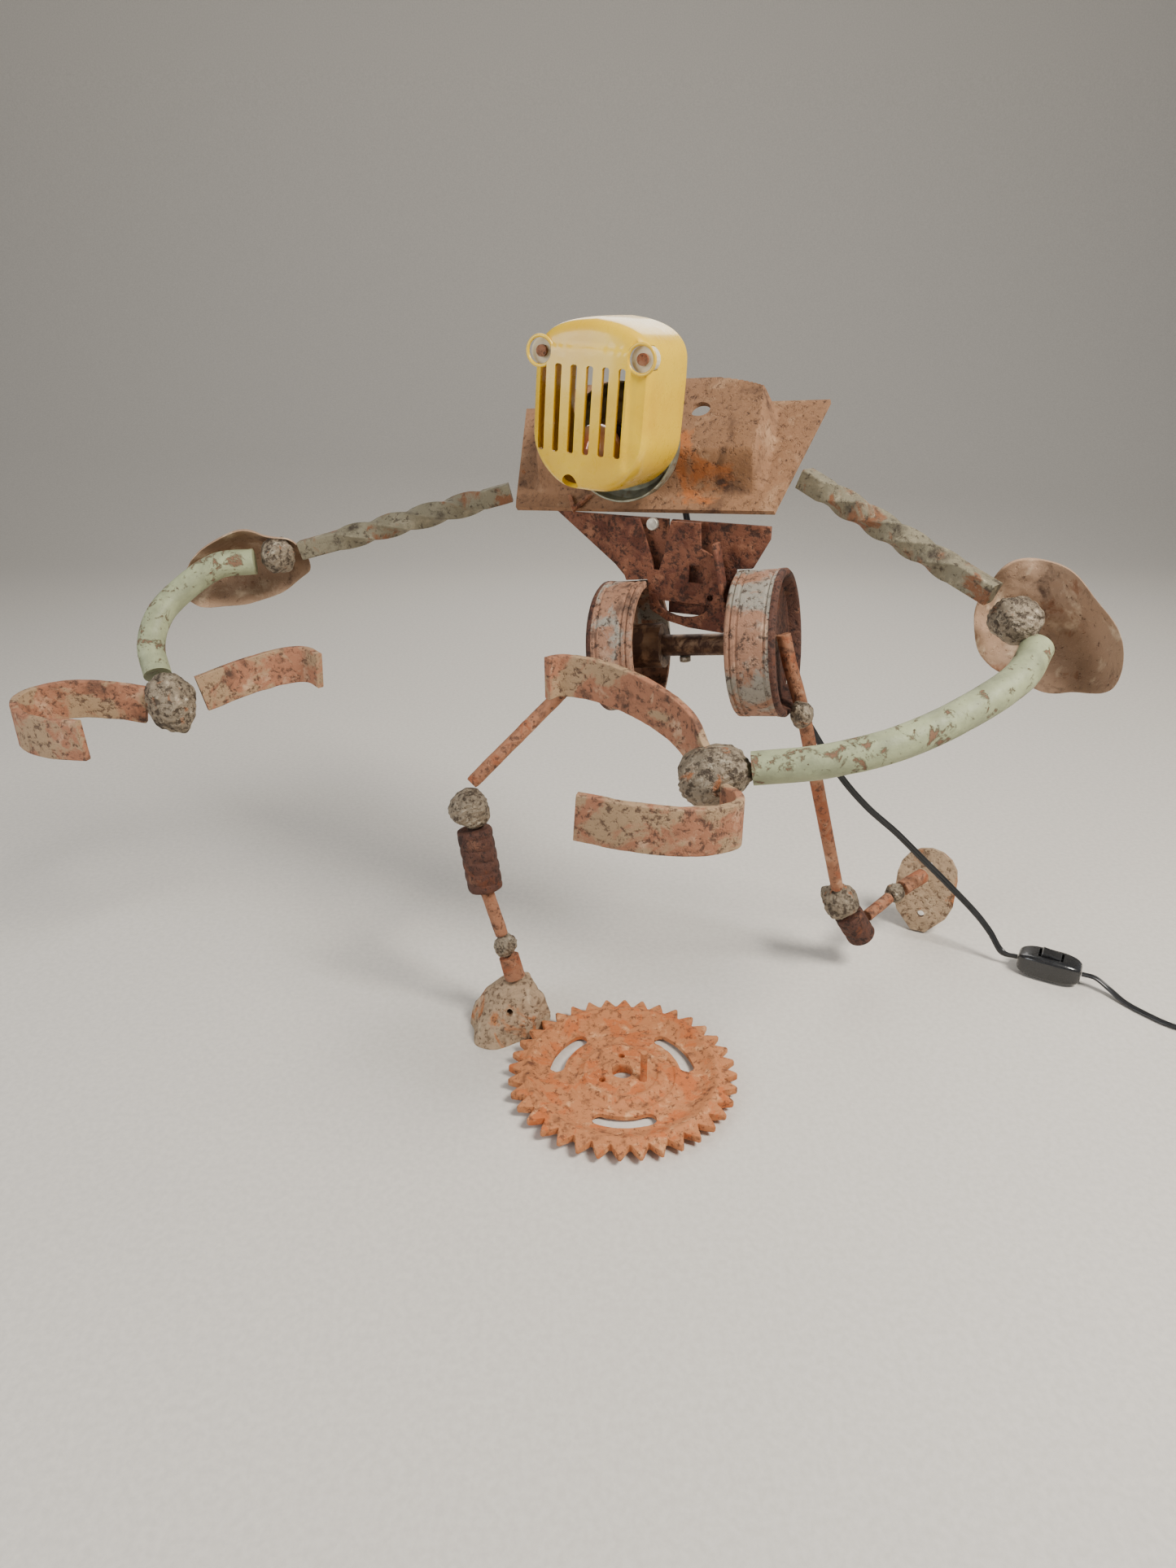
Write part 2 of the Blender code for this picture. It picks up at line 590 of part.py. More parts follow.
def build_front_leg(hip_face, hip_outward):
    """The thigh rod, knee, shin and ankle over the boot."""
    ankle_weld = 17 * MM
    shin_weld = FRONT_SHIN_WELD
    foot = towards(BOOT_TOP, shin_weld, ANKLE_ROD * 0.2)
    rod("front_ankle_rod", foot, towards(shin_weld, foot, ankle_weld / 2 + GAP), ANKLE_ROD,
        "rod_rust")
    weld("front_shin_weld", Matrix.Translation(shin_weld), (ankle_weld,) * 3)
    rod("front_shin_rod", towards(shin_weld, FRONT_SLEEVE_LOW, ankle_weld / 2 + GAP),
        towards(FRONT_SLEEVE_LOW, shin_weld, 1.2 * MM), SHIN_ROD, "rod_rust")
    sleeve_top = towards(FRONT_SLEEVE_LOW, FRONT_KNEE, KNEE_SLEEVE_LENGTH)
    build_sleeve("front_knee_sleeve", FRONT_SLEEVE_LOW, sleeve_top, KNEE_SLEEVE)
    knee = towards(sleeve_top, FRONT_KNEE, KNEE_WELD / 2 + GAP)
    weld("front_knee_weld", along(knee, knee + Vector((0.01, 0.0, 0.03))),
         (KNEE_WELD, KNEE_WELD, KNEE_WELD))
    boss = hip_face + hip_outward * (9 * MM + GAP)
    knee_top = towards(knee, knee + Vector((0.1, 0.13, 0.98)), KNEE_WELD / 2 + 0.4 * THIGH_ROD)
    weld("front_hip_weld", along(boss, boss + hip_outward), (18 * MM, 18 * MM, 18 * MM))
    rod("front_thigh_rod", towards(boss, knee_top, 9 * MM + GAP), knee_top,
        THIGH_ROD, "rod_rust")


def build_sleeve(name, start, end, diameter):
    """A sleeve of three stepped bands."""
    length = (end - start).length
    radius = diameter / 2
    band = radius * 0.94
    profile = [(0.0, length), (band, length), (radius, length * 0.86), (radius, length * 0.56),
               (band, length * 0.54), (radius, length * 0.50), (radius, length * 0.06),
               (band, 0.0), (0.0, 0.0)]
    turned(name, along(start, end), profile, "sleeve_rust", 20)


def build_rear_leg(drum_face, outward, down):
    """The bent thigh rod lies in the drum's dish and leans out over its rim."""
    start = drum_face - outward * (DRUM_DISH - THIGH_ROD / 2 - GAP)
    rim = drum_face + down * (LEFT_DRUM / 2 - 3 * MM) + outward * (THIGH_ROD / 2 + 2.5 * MM)
    knee = REAR_KNEE
    path = smooth_path([start - down * 6 * MM, start, rim, towards(rim, knee, 0.05),
                        towards(knee, rim, KNEE_WELD / 2 + GAP)], 20 * MM)
    tube("rear_thigh_rod", path, THIGH_ROD, "rod_rust")
    bead = 15 * MM
    side = down.cross(outward).normalized()
    seat = rim + side * (THIGH_ROD / 2 + bead / 2 + GAP) + outward * 2 * MM
    weld("rear_hip_weld", along(seat, seat + down), (bead, bead, 18 * MM))
    weld("rear_knee_weld", Matrix.Translation(knee), (KNEE_WELD,) * 3)
    sleeve_start = towards(knee, REAR_SLEEVE_END, KNEE_WELD / 2 + GAP)
    sleeve_end = towards(sleeve_start, REAR_SLEEVE_END, REAR_SLEEVE_LENGTH)
    build_sleeve("rear_knee_sleeve", sleeve_end, sleeve_start, REAR_SLEEVE)
    middle = sleeve_start.lerp(sleeve_end, 0.55)
    root = towards(middle, REAR_SHIN_WELD, REAR_SLEEVE / 2 + 3.5 * MM)
    ankle_weld = 16 * MM
    rod("rear_shin_rod", root, towards(REAR_SHIN_WELD, root, ankle_weld / 2 + GAP), SHIN_ROD,
        "rod_rust")
    weld("rear_shin_weld", Matrix.Translation(REAR_SHIN_WELD), (ankle_weld,) * 3)
    normal = FOOT_NORMAL.normalized()
    socket = REAR_FOOT + Vector((-0.001, -0.003, 0.020)) - normal * (FOOT_THICKNESS / 2 + GAP)
    heading = (socket - REAR_SHIN_WELD).normalized()
    end = socket - heading * (ANKLE_ROD / 2 * heading.angle(normal) + 1 * MM)
    rod("rear_ankle_rod", towards(REAR_SHIN_WELD, socket, ankle_weld / 2 + GAP), end,
        ANKLE_ROD * 0.85, "rod_rust")
    build_rear_foot(normal)


def build_rear_foot(heading):
    """An oblong plate that stands on its pointed lower end."""
    half = FOOT_WIDTH / 2
    low, high = -FOOT_HEIGHT / 2, FOOT_HEIGHT / 2
    outline = [(-6 * MM, low), (6 * MM, low), (half - 4 * MM, low + 15 * MM), (half, low + 26 * MM),
               *arc((0, high - half), half, 0, 180, 9), (-half, low + 26 * MM),
               (-half + 4 * MM, low + 15 * MM)]
    holes = [arc((0.0, low + 15 * MM), FOOT_HOLE / 2, 0, 330, 12),
             arc((0.0, high - 14 * MM), FOOT_HOLE / 2, 0, 330, 12)]
    across = Vector((0, 0, 1)).cross(heading).normalized()
    foot = sheet("rear_foot_plate", frame_at(REAR_FOOT, across, heading), outline,
                 FOOT_THICKNESS, "casting_rust", holes)
    rest_on_floor(foot)


# ---------------------------------------------------------------- hips

def hip_axes():
    """The axle's direction to the robot's left, and its upward direction."""
    turn = Matrix.Rotation(HIP_YAW, 3, 'Z') @ Matrix.Rotation(HIP_ROLL, 3, 'Y')
    return turn @ Vector((1, 0, 0)), turn @ Vector((0, 0, 1))


def build_drum(name, centre, outward, diameter, finish_name):
    """A brake drum: a dished disc on its outer side, open towards the hips."""
    rim = diameter / 2
    wall = rim - DRUM_WALL
    face = DRUM_WIDTH / 2
    dish = face - DRUM_DISH
    profile = [(rim - 1.5 * MM, face), (rim, face - 1.5 * MM), (rim, face - 6 * MM),
               (rim - 1.2 * MM, face - 7 * MM), (rim - 1.2 * MM, -face + 7 * MM),
               (rim, -face + 6 * MM), (rim, -face + 1.5 * MM), (rim - 1.5 * MM, -face),
               (wall, -face), (wall, dish - DRUM_WEB), (0.0, dish - DRUM_WEB)]
    top = [(0.0, dish), (wall - 3 * MM, dish), (wall, face)]
    turned(name, along(centre, centre + outward), [*top, *profile], finish_name, 32)


def build_hips():
    """The axle tube through both drums; the robot's left is along the axis."""
    axis, up = hip_axes()
    right = HIP - axis * AXLE_SPAN / 2
    left = HIP + axis * AXLE_SPAN / 2
    build_drum("right_drum", right, -axis, RIGHT_DRUM, "drum_rust")
    build_drum("left_drum", left, axis, LEFT_DRUM, "drum_rust")
    web = DRUM_WIDTH / 2 - DRUM_DISH - DRUM_WEB - GAP
    hub_start = right - axis * web
    ring("right_hub", along(hub_start, hub_start + axis), HUB_DIAMETER, AXLE_TUBE + 2 * GAP,
         DRUM_WIDTH / 2 + web + HUB_WIDTH, "axle_steel")
    rod("hip_axle_tube", right - axis * web, left + axis * web, AXLE_TUBE, "axle_steel", 20)
    screw = HIP - up * (AXLE_TUBE / 2 + GAP) - axis * 8 * MM
    cylinder("axle_set_screw", along(screw, screw - up), SET_SCREW, SET_SCREW / 2,
             "bright_zinc", 16)
    outer = DRUM_WIDTH / 2
    build_front_leg(right - axis * (outer - DRUM_DISH), -axis)
    build_rear_leg(left + axis * outer, axis, -up)


# ---------------------------------------------------------------- torso

def dome_height(across, up_slope):
    """Height of the plate's D shaped dome, from 0 at its edge."""
    low = 0.12 * PLATE_SLOPE
    x = abs(across) / (DOME_WIDTH / 2)
    y = (up_slope - low) / (PLATE_SLOPE - low)
    if y <= 0.0:
        return 0.0
    side = 1.0 - x ** 3.5 - max(0.0, y - 0.35) ** 3 * 0.9 * x * x - max(0.0, y - 0.9) * 6.0
    rise = max(0.0, min(1.0, side * 2.6)) * min(1.0, y * 4.0)
    return DOME_HEIGHT * rise * rise * (3 - 2 * rise)


def plate_frame():
    """The shoulder plate's lower edge: +X along it, +Y up its slope, +Z out of its face."""
    turn = Matrix.Rotation(TORSO_YAW, 4, 'Z') @ Matrix.Rotation(PLATE_ROLL, 4, 'Y')
    slope = Matrix.Rotation(math.pi / 2 - PLATE_LEAN, 4, 'X')
    return Matrix.Translation(PLATE_FOOT) @ turn @ slope


def build_shoulder_plate(neck):
    columns, levels = 24, 11
    rows = []
    for j in range(levels + 1):
        v = j / levels
        y = v * PLATE_SLOPE
        left = -PLATE_BOTTOM / 2 - v * PLATE_FLARE_RIGHT
        right = PLATE_BOTTOM / 2 + v * PLATE_FLARE_LEFT
        row = []
        for i in range(columns + 1):
            x = left + (right - left) * i / columns
            row.append((x, y, dome_height(x + v * 6 * MM, y)))
        rows.append(row)
    plate = surface("shoulder_plate", plate_frame(), rows, "plate_rust", PLATE_THICKNESS, -1.0)
    hole = Vector((30 * MM, 66 * MM, -20 * MM))
    cut(plate, cylinder("dome_hole", plate_frame() @ Matrix.Translation(hole), DOME_HOLE, 0.06,
                        sides=24, collection=CUTTERS))
    cut(plate, cylinder("neck_room", neck, NECK_PIPE + 2 * GAP, 0.09, sides=24,
                        collection=CUTTERS))


def chest_frame(back, z=0.0, x=0.0):
    """A placement in the chest's plane: +X to the robot's left, +Y up, +Z forwards."""
    turn = Matrix.Rotation(TORSO_YAW, 4, 'Z')
    place = turn @ Vector((x, back, z))
    return Matrix.Translation(Vector((HIP.x, HIP.y, HIP.z)) + place) @ turn \
        @ Matrix.Rotation(math.pi / 2, 4, 'X')


def drum_room(name, centre, axis, diameter):
    """A cutter that keeps the chest's sheets clear of a drum."""
    start = centre - axis * (DRUM_WIDTH / 2 + 1 * MM)
    return cylinder(name, along(start, start + axis), diameter + 2 * MM, DRUM_WIDTH + 2 * MM,
                    sides=40, collection=CUTTERS)


def build_chest():
    """The bracket over the axle, two folded side plates behind it, and what holds them."""
    floor = AXLE_TUBE / 2 + 3.5 * MM
    top = PLATE_FOOT.z - HIP.z - 6 * MM
    front = -1 * MM
    outline = [(-48 * MM, 34 * MM), (-40 * MM, 25 * MM), (-20 * MM, floor + 4 * MM),
               (-5 * MM, floor + 1 * MM), (19 * MM, floor), (23 * MM, floor + 5 * MM),
               (14 * MM, top - 22 * MM), (1 * MM, top - 16 * MM), (0, top), (-20 * MM, top),
               (-24 * MM, top - 22 * MM), (-27 * MM, top - 32 * MM), (-31 * MM, top - 32 * MM),
               (-33 * MM, top - 24 * MM), (-42 * MM, top), (-62 * MM, top),
               (-63 * MM, top - 12 * MM)]
    lip = 29 * MM
    smile = [(x, lip + (y - lip) * 0.6) for x, y in arc((-9 * MM, lip), 18 * MM, -5, -175, 11)]
    window = [(-6 * MM, top - 38 * MM), (4 * MM, top - 38 * MM), (4 * MM, top - 27 * MM),
              (-6 * MM, top - 27 * MM)]
    eyelet = arc((9 * MM, top - 47 * MM), 2 * MM, 0, 324, 10)
    axis = hip_axes()[0]
    rooms = [drum_room("right_drum_room", HIP - axis * AXLE_SPAN / 2, axis, RIGHT_DRUM),
             drum_room("left_drum_room", HIP + axis * AXLE_SPAN / 2, axis, LEFT_DRUM)]
    bracket = as_mesh(sheet("chest_bracket", chest_frame(front), outline, CHEST_SHEET, "chest_rust",
                            [smile, window, eyelet]))
    depth = 10 * MM
    forwards = front - CHEST_SHEET / 2 - depth / 2 - 0.5 * MM - GAP
    flange = chest_frame(forwards, (top + floor) / 2 + 2 * MM, 18 * MM)
    block("chest_flange", flange @ Matrix.Rotation(math.radians(13), 4, 'Z'),
          (CHEST_SHEET, 46 * MM, depth), "chest_rust", bevel=0.8 * MM)
    side = chest_frame(front + CHEST_SHEET + 4 * MM)
    right_side = [(-105 * MM, top), (-62 * MM, top - 32 * MM), (-50 * MM, top - 44 * MM),
                 (-24 * MM, top - 44 * MM), (-24 * MM, top)]
    right = as_mesh(sheet("right_chest_plate", side, right_side, CHEST_SHEET, "chest_rust"))
    left_side = [(-22 * MM, top), (-22 * MM, floor + 8 * MM), (20 * MM, floor + 8 * MM),
                  (24 * MM, top - 46 * MM), (44 * MM, top - 8 * MM), (44 * MM, top)]
    left = as_mesh(sheet("left_chest_plate", side, left_side, CHEST_SHEET, "chest_rust"))
    for room in rooms:
        for item in (bracket, left, right):
            cut(item, room)
    bolt = chest_frame(front - CHEST_SHEET, top - 2 * MM, -31 * MM)
    cylinder("chest_bolt", bolt, 8 * MM, 3.5 * MM, "bright_zinc", 12)


def head_frame():
    """The head's own placement: +X to its left, +Y backwards, +Z up."""
    turn = Matrix.Rotation(HEAD_YAW, 4, 'Z') @ Matrix.Rotation(HEAD_ROLL, 4, 'Y')
    return Matrix.Translation(HEAD) @ turn


def head_section(scale, depth, count=32):
    """One closed outline of the cover: flat sides, a rounded chin and a low ridge on top."""
    points = []
    for i in range(count):
        angle = 2 * math.pi * i / count
        c, s = math.cos(angle), math.sin(angle)
        x = math.copysign(abs(c) ** 0.62, c) * HEAD_WIDTH / 2
        z = math.copysign(abs(s) ** 0.62, s) * HEAD_HEIGHT / 2
        low = max(0.0, -z / (HEAD_HEIGHT / 2) - 0.35) / 0.65
        x *= 1.0 - 0.30 * low * low
        high = max(0.0, z / (HEAD_HEIGHT / 2) - 0.6) / 0.4
        z -= high * 7 * MM * abs(x / (HEAD_WIDTH / 2)) ** 1.5
        points.append((x * scale, depth, z * scale))
    return points


def build_head():
    place = head_frame()
    half = HEAD_DEPTH / 2
    rings = [(0.30, -half + 0.3 * MM), (0.60, -half + 1.2 * MM), (0.80, -half + 3.5 * MM),
             (0.91, -half + 8 * MM), (0.965, -half + 16 * MM), (0.985, 0.0), (1.0, half)]
    rows = [head_section(scale, depth) for scale, depth in rings]
    cover = surface("head_cover", place, rows, "head_yellow", HEAD_WALL, -1.0, closed=True,
                    pole=(0, -half, 0))
    for i in range(HEAD_SLOTS):
        x = (i - (HEAD_SLOTS - 1) / 2) * SLOT_PITCH + SLOT_OFFSET
        slot = place @ Matrix.Translation((x, -half, -2 * MM))
        cut(cover, block(f"slot_{i}", slot, (SLOT_WIDTH, 26 * MM, SLOT_HEIGHT),
                         collection=CUTTERS))
    pocket = 15 * MM
    for side, x in (("right", -31 * MM), ("left", 30 * MM)):
        start = place @ Matrix.Translation((x, -half - 2 * MM, HEAD_HEIGHT / 2 - 21 * MM)) \
            @ Matrix.Rotation(-math.pi / 2, 4, 'X')
        cut(cover, cylinder(f"{side}_pocket", start, pocket, 16 * MM, sides=20,
                            collection=CUTTERS))
        seat = start @ Matrix.Translation((0, 0, 8 * MM))
        cylinder(f"{side}_head_clip", seat, pocket - 2 * GAP, 7 * MM, "clip_ivory", 20)
        head = start @ Matrix.Translation((0, 0, 8 * MM - GAP - 2.2 * MM))
        cylinder(f"{side}_head_screw", head, 6.5 * MM, 2.2 * MM, "rod_rust", 14)
    chin = place @ Matrix.Translation((-9 * MM, -half + 4 * MM, -HEAD_HEIGHT / 2 + 6 * MM)) \
        @ Matrix.Rotation(math.radians(-35), 4, 'X')
    cut(cover, cylinder("chin_hole", chin @ Matrix.Translation((0, 0, -15 * MM)), 10 * MM,
                        30 * MM, sides=20, collection=CUTTERS))
    return build_lamp(place, half)


def build_lamp(place, half):
    """The cup behind the cover, with its holder and bulb, on the neck pipe."""
    back = place @ Matrix.Translation((-2 * MM, half + GAP, -24 * MM)) \
        @ Matrix.Rotation(-math.pi / 2, 4, 'X')
    outer = CUP_DIAMETER / 2
    inner = outer - CUP_WALL
    hole = NECK_PIPE / 2 + GAP
    deep = CUP_DEPTH
    turned("lamp_cup", back,
           [(outer - 5 * MM, deep), (outer, deep - 6 * MM), (outer, 0.0), (inner, 0.0),
            (inner, deep - 6.5 * MM), (outer - 5.8 * MM, deep - CUP_WALL), (hole, deep - CUP_WALL),
            (hole, deep)], "galvanised", 32)
    seat = deep - CUP_WALL - GAP
    holder_top = seat - NUT_HEIGHT - GAP
    nut = back @ Matrix.Translation((0, 0, seat - NUT_HEIGHT / 2))
    hexagon = arc((0, 0), NECK_NUT / 2, 0, 300, 6)
    bore = arc((0, 0), hole / math.cos(math.pi / 20), 0, 342, 20)
    sheet("neck_nut", nut, hexagon, NUT_HEIGHT, "bright_zinc", [bore])
    mouth = holder_top - HOLDER_LENGTH
    bore = BULB_BASE / 2 + GAP
    turned("lamp_holder", back,
           [(HOLDER_DIAMETER / 2, holder_top), (HOLDER_DIAMETER / 2, mouth), (bore, mouth),
            (bore, holder_top - HOLDER_BACK), (0.0, holder_top - HOLDER_BACK),
            (0.0, holder_top)], "holder_black", 24)
    base = back @ Matrix.Translation((0, 0, holder_top - HOLDER_BACK - GAP))
    cylinder("bulb_base", base @ Matrix.Rotation(math.pi, 4, 'X'), BULB_BASE,
             HOLDER_LENGTH - HOLDER_BACK - GAP, "bright_zinc", 20)
    glass = back @ Matrix.Translation((0, 0, mouth - GAP))
    round_end = BULB_DIAMETER / 2
    profile = [(0.0, 0.0), (6.5 * MM, 0.0), (8 * MM, -6 * MM)]
    centre = -6 * MM - round_end * 0.95
    for k in range(9):
        angle = math.radians(58 - 148 * k / 8)
        profile.append((round_end * math.cos(angle) if k < 8 else 0.0,
                        centre + round_end * math.sin(angle)))
    turned("bulb_glass", glass, profile, "lamp_glass", 20)
    pipe = back @ Matrix.Translation((0, 0, seat - NUT_HEIGHT))
    ring("neck_pipe", pipe, NECK_PIPE, NECK_PIPE - 2 * PIPE_WALL, NECK_LENGTH, "bright_zinc", 20)
    return pipe


# ---------------------------------------------------------------- arms

def build_bar(name, start, end, turns):
    """Square bar, twisted along its middle."""
    placement = along(start, end)
    length = (Vector(end) - Vector(start)).length
    half = ARM_BAR / 2
    shape = bmesh.new()
    rows = []
    steps = 24
    for k in range(steps + 1):
        share = min(1.0, max(0.0, (k / steps - 0.12) / 0.7))
        turn = turns * 2 * math.pi * share
        row = []
        for i in range(8):
            angle = turn + math.pi / 4 * i
            reach = half if i % 2 else half * 1.30
            row.append(shape.verts.new((reach * math.cos(angle), reach * math.sin(angle),
                                        length * k / steps)))
        rows.append(row)
    for low, high in zip(rows, rows[1:]):
        for i in range(8):
            j = (i + 1) % 8
            shape.faces.new((low[i], low[j], high[j], high[i]))
    shape.faces.new(rows[0])
    shape.faces.new(rows[-1])
    return add_object(name, mesh_from(shape, name), "bar_patina", placement)


def build_shell(name, placement, length, width, depth, wall):
    """A forged bowl that wraps the elbow's weld, open along +Z."""
    rows = []
    for level in (0.25, 0.5, 0.72, 0.88, 0.97, 1.0):
        row = []
        for i in range(22):
            angle = 2 * math.pi * i / 22
            wave = 1.0 + 0.06 * math.sin(3 * angle + 0.6)
            row.append((length / 2 * level * wave * math.cos(angle),
                        width / 2 * level * wave * math.sin(angle),
                        -depth * (1.0 - level ** 2.6)))
        rows.append(row)
    return surface(name, placement, rows, "shell_rust", wall, -1.0, closed=True,
                   pole=(0, 0, -depth))


def build_strap(name, points, lift=(0, 0, 1)):
    """Flat strap bent on edge along a smooth path."""
    path = smooth_path(points, 7 * MM)
    half = Vector(lift).normalized() * STRAP_HEIGHT / 2
    rows = [[p - half for p in path], [p + half for p in path]]
    return surface(name, Matrix(), rows, "strap_rust", STRAP_THICKNESS, 0.0)


def build_arm(side, shoulder, elbow, forearm, claw, claw_size, shell_frame, shell_size, turns):
    """One arm: twisted bar, elbow weld in its shell, forearm tube and the claw's weld."""
    build_bar(f"{side}_upper_arm", shoulder, elbow, turns)
    tube_start = Vector(forearm[0])
    reach = (tube_start - elbow).length
    weld(f"{side}_elbow_weld", along(elbow.lerp(tube_start, 0.5), tube_start),
         (ELBOW_WELD, ELBOW_WELD, reach - ELBOW_CLEARANCE))
    path = smooth_path(forearm, 12 * MM)
    tube(f"{side}_forearm_tube", path, FOREARM_TUBE, "sage_paint")
    build_shell(f"{side}_elbow_shell", shell_frame, *shell_size, SHELL_WALL)
    weld(f"{side}_claw_weld", along(claw, Vector(forearm[-1])), claw_size)


def build_chin_lug():
    """A small V of bent strip that hangs from the plate's lip under the chin."""
    thick = 2.4 * MM
    outline = [(-9 * MM, 15 * MM), (0, 0), (9 * MM, 15 * MM), (6 * MM, 15 * MM), (0, 5.5 * MM),
               (-6 * MM, 15 * MM)]
    place = plate_frame() @ Matrix.Translation((-44 * MM, -6 * MM, thick / 2 + GAP))
    sheet("chin_lug", place, outline, thick, "rod_rust")


def build_arms():
    right_shell = frame_at(RIGHT_SHELL, (-1.0, -0.12, -0.24), (0.05, -0.9, -0.20))
    build_arm("right", RIGHT_SHOULDER, RIGHT_ELBOW, RIGHT_FOREARM, RIGHT_CLAW, RIGHT_CLAW_WELD,
              right_shell, RIGHT_SHELL_SIZE, ARM_BAR_TURNS)
    left_shell = frame_at(LEFT_SHELL, (0.70, -0.35, -0.60), (-0.35, -0.85, 0.10))
    build_arm("left", LEFT_SHOULDER, LEFT_ELBOW, LEFT_FOREARM, LEFT_CLAW, LEFT_CLAW_WELD,
              left_shell, LEFT_SHELL_SIZE, -ARM_BAR_TURNS)
    build_strap("right_claw_hook", RIGHT_HOOK)
    build_strap("right_claw_jaw", RIGHT_JAW)
    build_strap("left_claw_hook", LEFT_HOOK)
    build_strap("left_claw_jaw", LEFT_JAW)


# ---------------------------------------------------------------- cord

def build_cord():
    """The cord in two stretches, with the switch between them and its coil and plug."""
    tube("cord_upper", smooth_path(CORD_UPPER, 13 * MM), CORD_WIDTH, "cord_black", 2)
    tube("cord_lower", smooth_path(CORD_LOWER, 13 * MM), CORD_WIDTH, "cord_black", 2)
    place = Matrix.Translation(SWITCH + Vector((0, 0, SWITCH_HEIGHT / 2 + GAP))) \
        @ Matrix.Rotation(SWITCH_HEADING, 4, 'Z')
    case = block("switch_case", place, (SWITCH_LENGTH, SWITCH_WIDTH, SWITCH_HEIGHT),
                 "cord_black", bevel=3 * MM)
    length, width, height = ROCKER
    room = (length + 2 * ROCKER_ROOM, width + 1 * MM, 2 * height)
    top = place @ Matrix.Translation((0, 0, SWITCH_HEIGHT / 2))
    cut(case, block("rocker_room", top, room, collection=CUTTERS))
    pivot = top @ Matrix.Translation((0, 0, -0.5 * MM)) @ Matrix.Rotation(ROCKER_TILT, 4, 'Y')
    block("switch_rocker", pivot, ROCKER, "cord_black", bevel=0.8 * MM)
    inner = COIL_TURN - COIL_WIDTH
    outer = COIL_TURN + COIL_WIDTH
    ring("cord_coil", Matrix.Translation(COIL + Vector((0, 0, GAP))), outer, inner, COIL_HEIGHT,
         "cord_black", 36)
    plug = Matrix.Translation(COIL + Vector((0, 0, COIL_HEIGHT + 2 * GAP + 7 * MM))) \
        @ Matrix.Rotation(math.radians(20), 4, 'Z')
    body = block("plug", plug, (32 * MM, 22 * MM, 14 * MM), "cord_black", bevel=3 * MM)
    for side in (-1, 1):
        blade = plug @ Matrix.Translation((23 * MM, side * 6.35 * MM, 0))
        join(body, block(f"plug_blade_{side}", blade, (18 * MM, 1.5 * MM, 6.4 * MM),
                         collection=CUTTERS))


def hang(item, parent):
    """Parent an object to an empty and leave it where it is."""
    item.parent = parent
    item.matrix_parent_inverse = parent.matrix_world.inverted()


def place_on_origin(neck):
    """Hang everything from one empty, which brings the part's origin to the world's.

    The lamp head hangs from its own empty, whose +Z is the neck pipe's axis.
    """
    root = bpy.data.objects.new("robot_root", None)
    bpy.data.collections[PARTS].objects.link(root)
    swivel = bpy.data.objects.new("head_swivel", None)
    bpy.data.collections[PARTS].objects.link(swivel)
    swivel.matrix_world = neck
    bpy.context.view_layer.update()
    for item in bpy.data.objects:
        if item is not root:
            hang(item, swivel if item.name in HEAD_GROUP else root)
    root.location = -ORIGIN


def main():
    clear_scene()
    for name, look in FINISHES.items():
        finish(name, *look)
    build_sprocket()
    build_boot()
    build_hips()
    neck = build_head()
    build_shoulder_plate(neck)
    build_chest()
    build_chin_lug()
    build_arms()
    build_cord()
    place_on_origin(neck)


main()
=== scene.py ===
"""A table lamp in the shape of a striding robot, welded from scrap steel.

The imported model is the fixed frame.  Each sub-assembly is a class that holds its sizes, works its
surfaces out with numpy and dresses them in worn, rusty, painted or moulded finishes.
Units are metres, +Z is up, and the robot walks towards -Y.
"""

import json
import logging
import math
from dataclasses import dataclass, field
from enum import Enum

import bmesh
import bpy
import numpy as np
from mathutils import Matrix, Vector


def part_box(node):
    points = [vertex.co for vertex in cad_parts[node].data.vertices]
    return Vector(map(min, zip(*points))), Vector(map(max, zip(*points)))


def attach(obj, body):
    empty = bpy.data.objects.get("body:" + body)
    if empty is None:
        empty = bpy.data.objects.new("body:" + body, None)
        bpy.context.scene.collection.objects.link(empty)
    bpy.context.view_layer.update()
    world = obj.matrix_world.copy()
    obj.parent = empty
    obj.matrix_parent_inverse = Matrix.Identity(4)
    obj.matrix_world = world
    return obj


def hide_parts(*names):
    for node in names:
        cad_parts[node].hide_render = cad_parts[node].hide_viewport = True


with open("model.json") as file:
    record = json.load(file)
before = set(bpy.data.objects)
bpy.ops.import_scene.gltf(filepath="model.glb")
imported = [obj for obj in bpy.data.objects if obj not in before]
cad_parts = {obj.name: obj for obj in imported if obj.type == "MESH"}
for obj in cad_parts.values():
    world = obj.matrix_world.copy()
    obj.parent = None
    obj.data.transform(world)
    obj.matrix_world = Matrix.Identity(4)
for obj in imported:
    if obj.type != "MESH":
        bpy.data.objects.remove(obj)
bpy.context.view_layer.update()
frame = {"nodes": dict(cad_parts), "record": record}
log = logging.getLogger("robot_lamp")

Array = np.ndarray
Colour = tuple[int, int, int]
MM = 0.001
ORIGIN = np.array([0.0032, 0.0172, 0.0])    # the places below are measured from between the feet


def at(x: float, y: float, z: float) -> Array:
    """The world point of a place measured from between the feet."""
    return np.array([x, y, z]) - ORIGIN


def points_at(places: list[tuple[float, float, float]]) -> Array:
    """The world points of several places."""
    return np.array(places) - ORIGIN


# ---------------------------------------------------------------- shaping with arrays

class Ends(Enum):
    """What closes the two ends of a skin."""

    OPEN = "open"
    CAPPED = "capped"


def unit(vectors: Array) -> Array:
    """The vectors at length one, each divided by its own length."""
    vectors = np.asarray(vectors, float)
    return vectors / np.maximum(np.linalg.norm(vectors, axis=-1, keepdims=True), 1e-12)


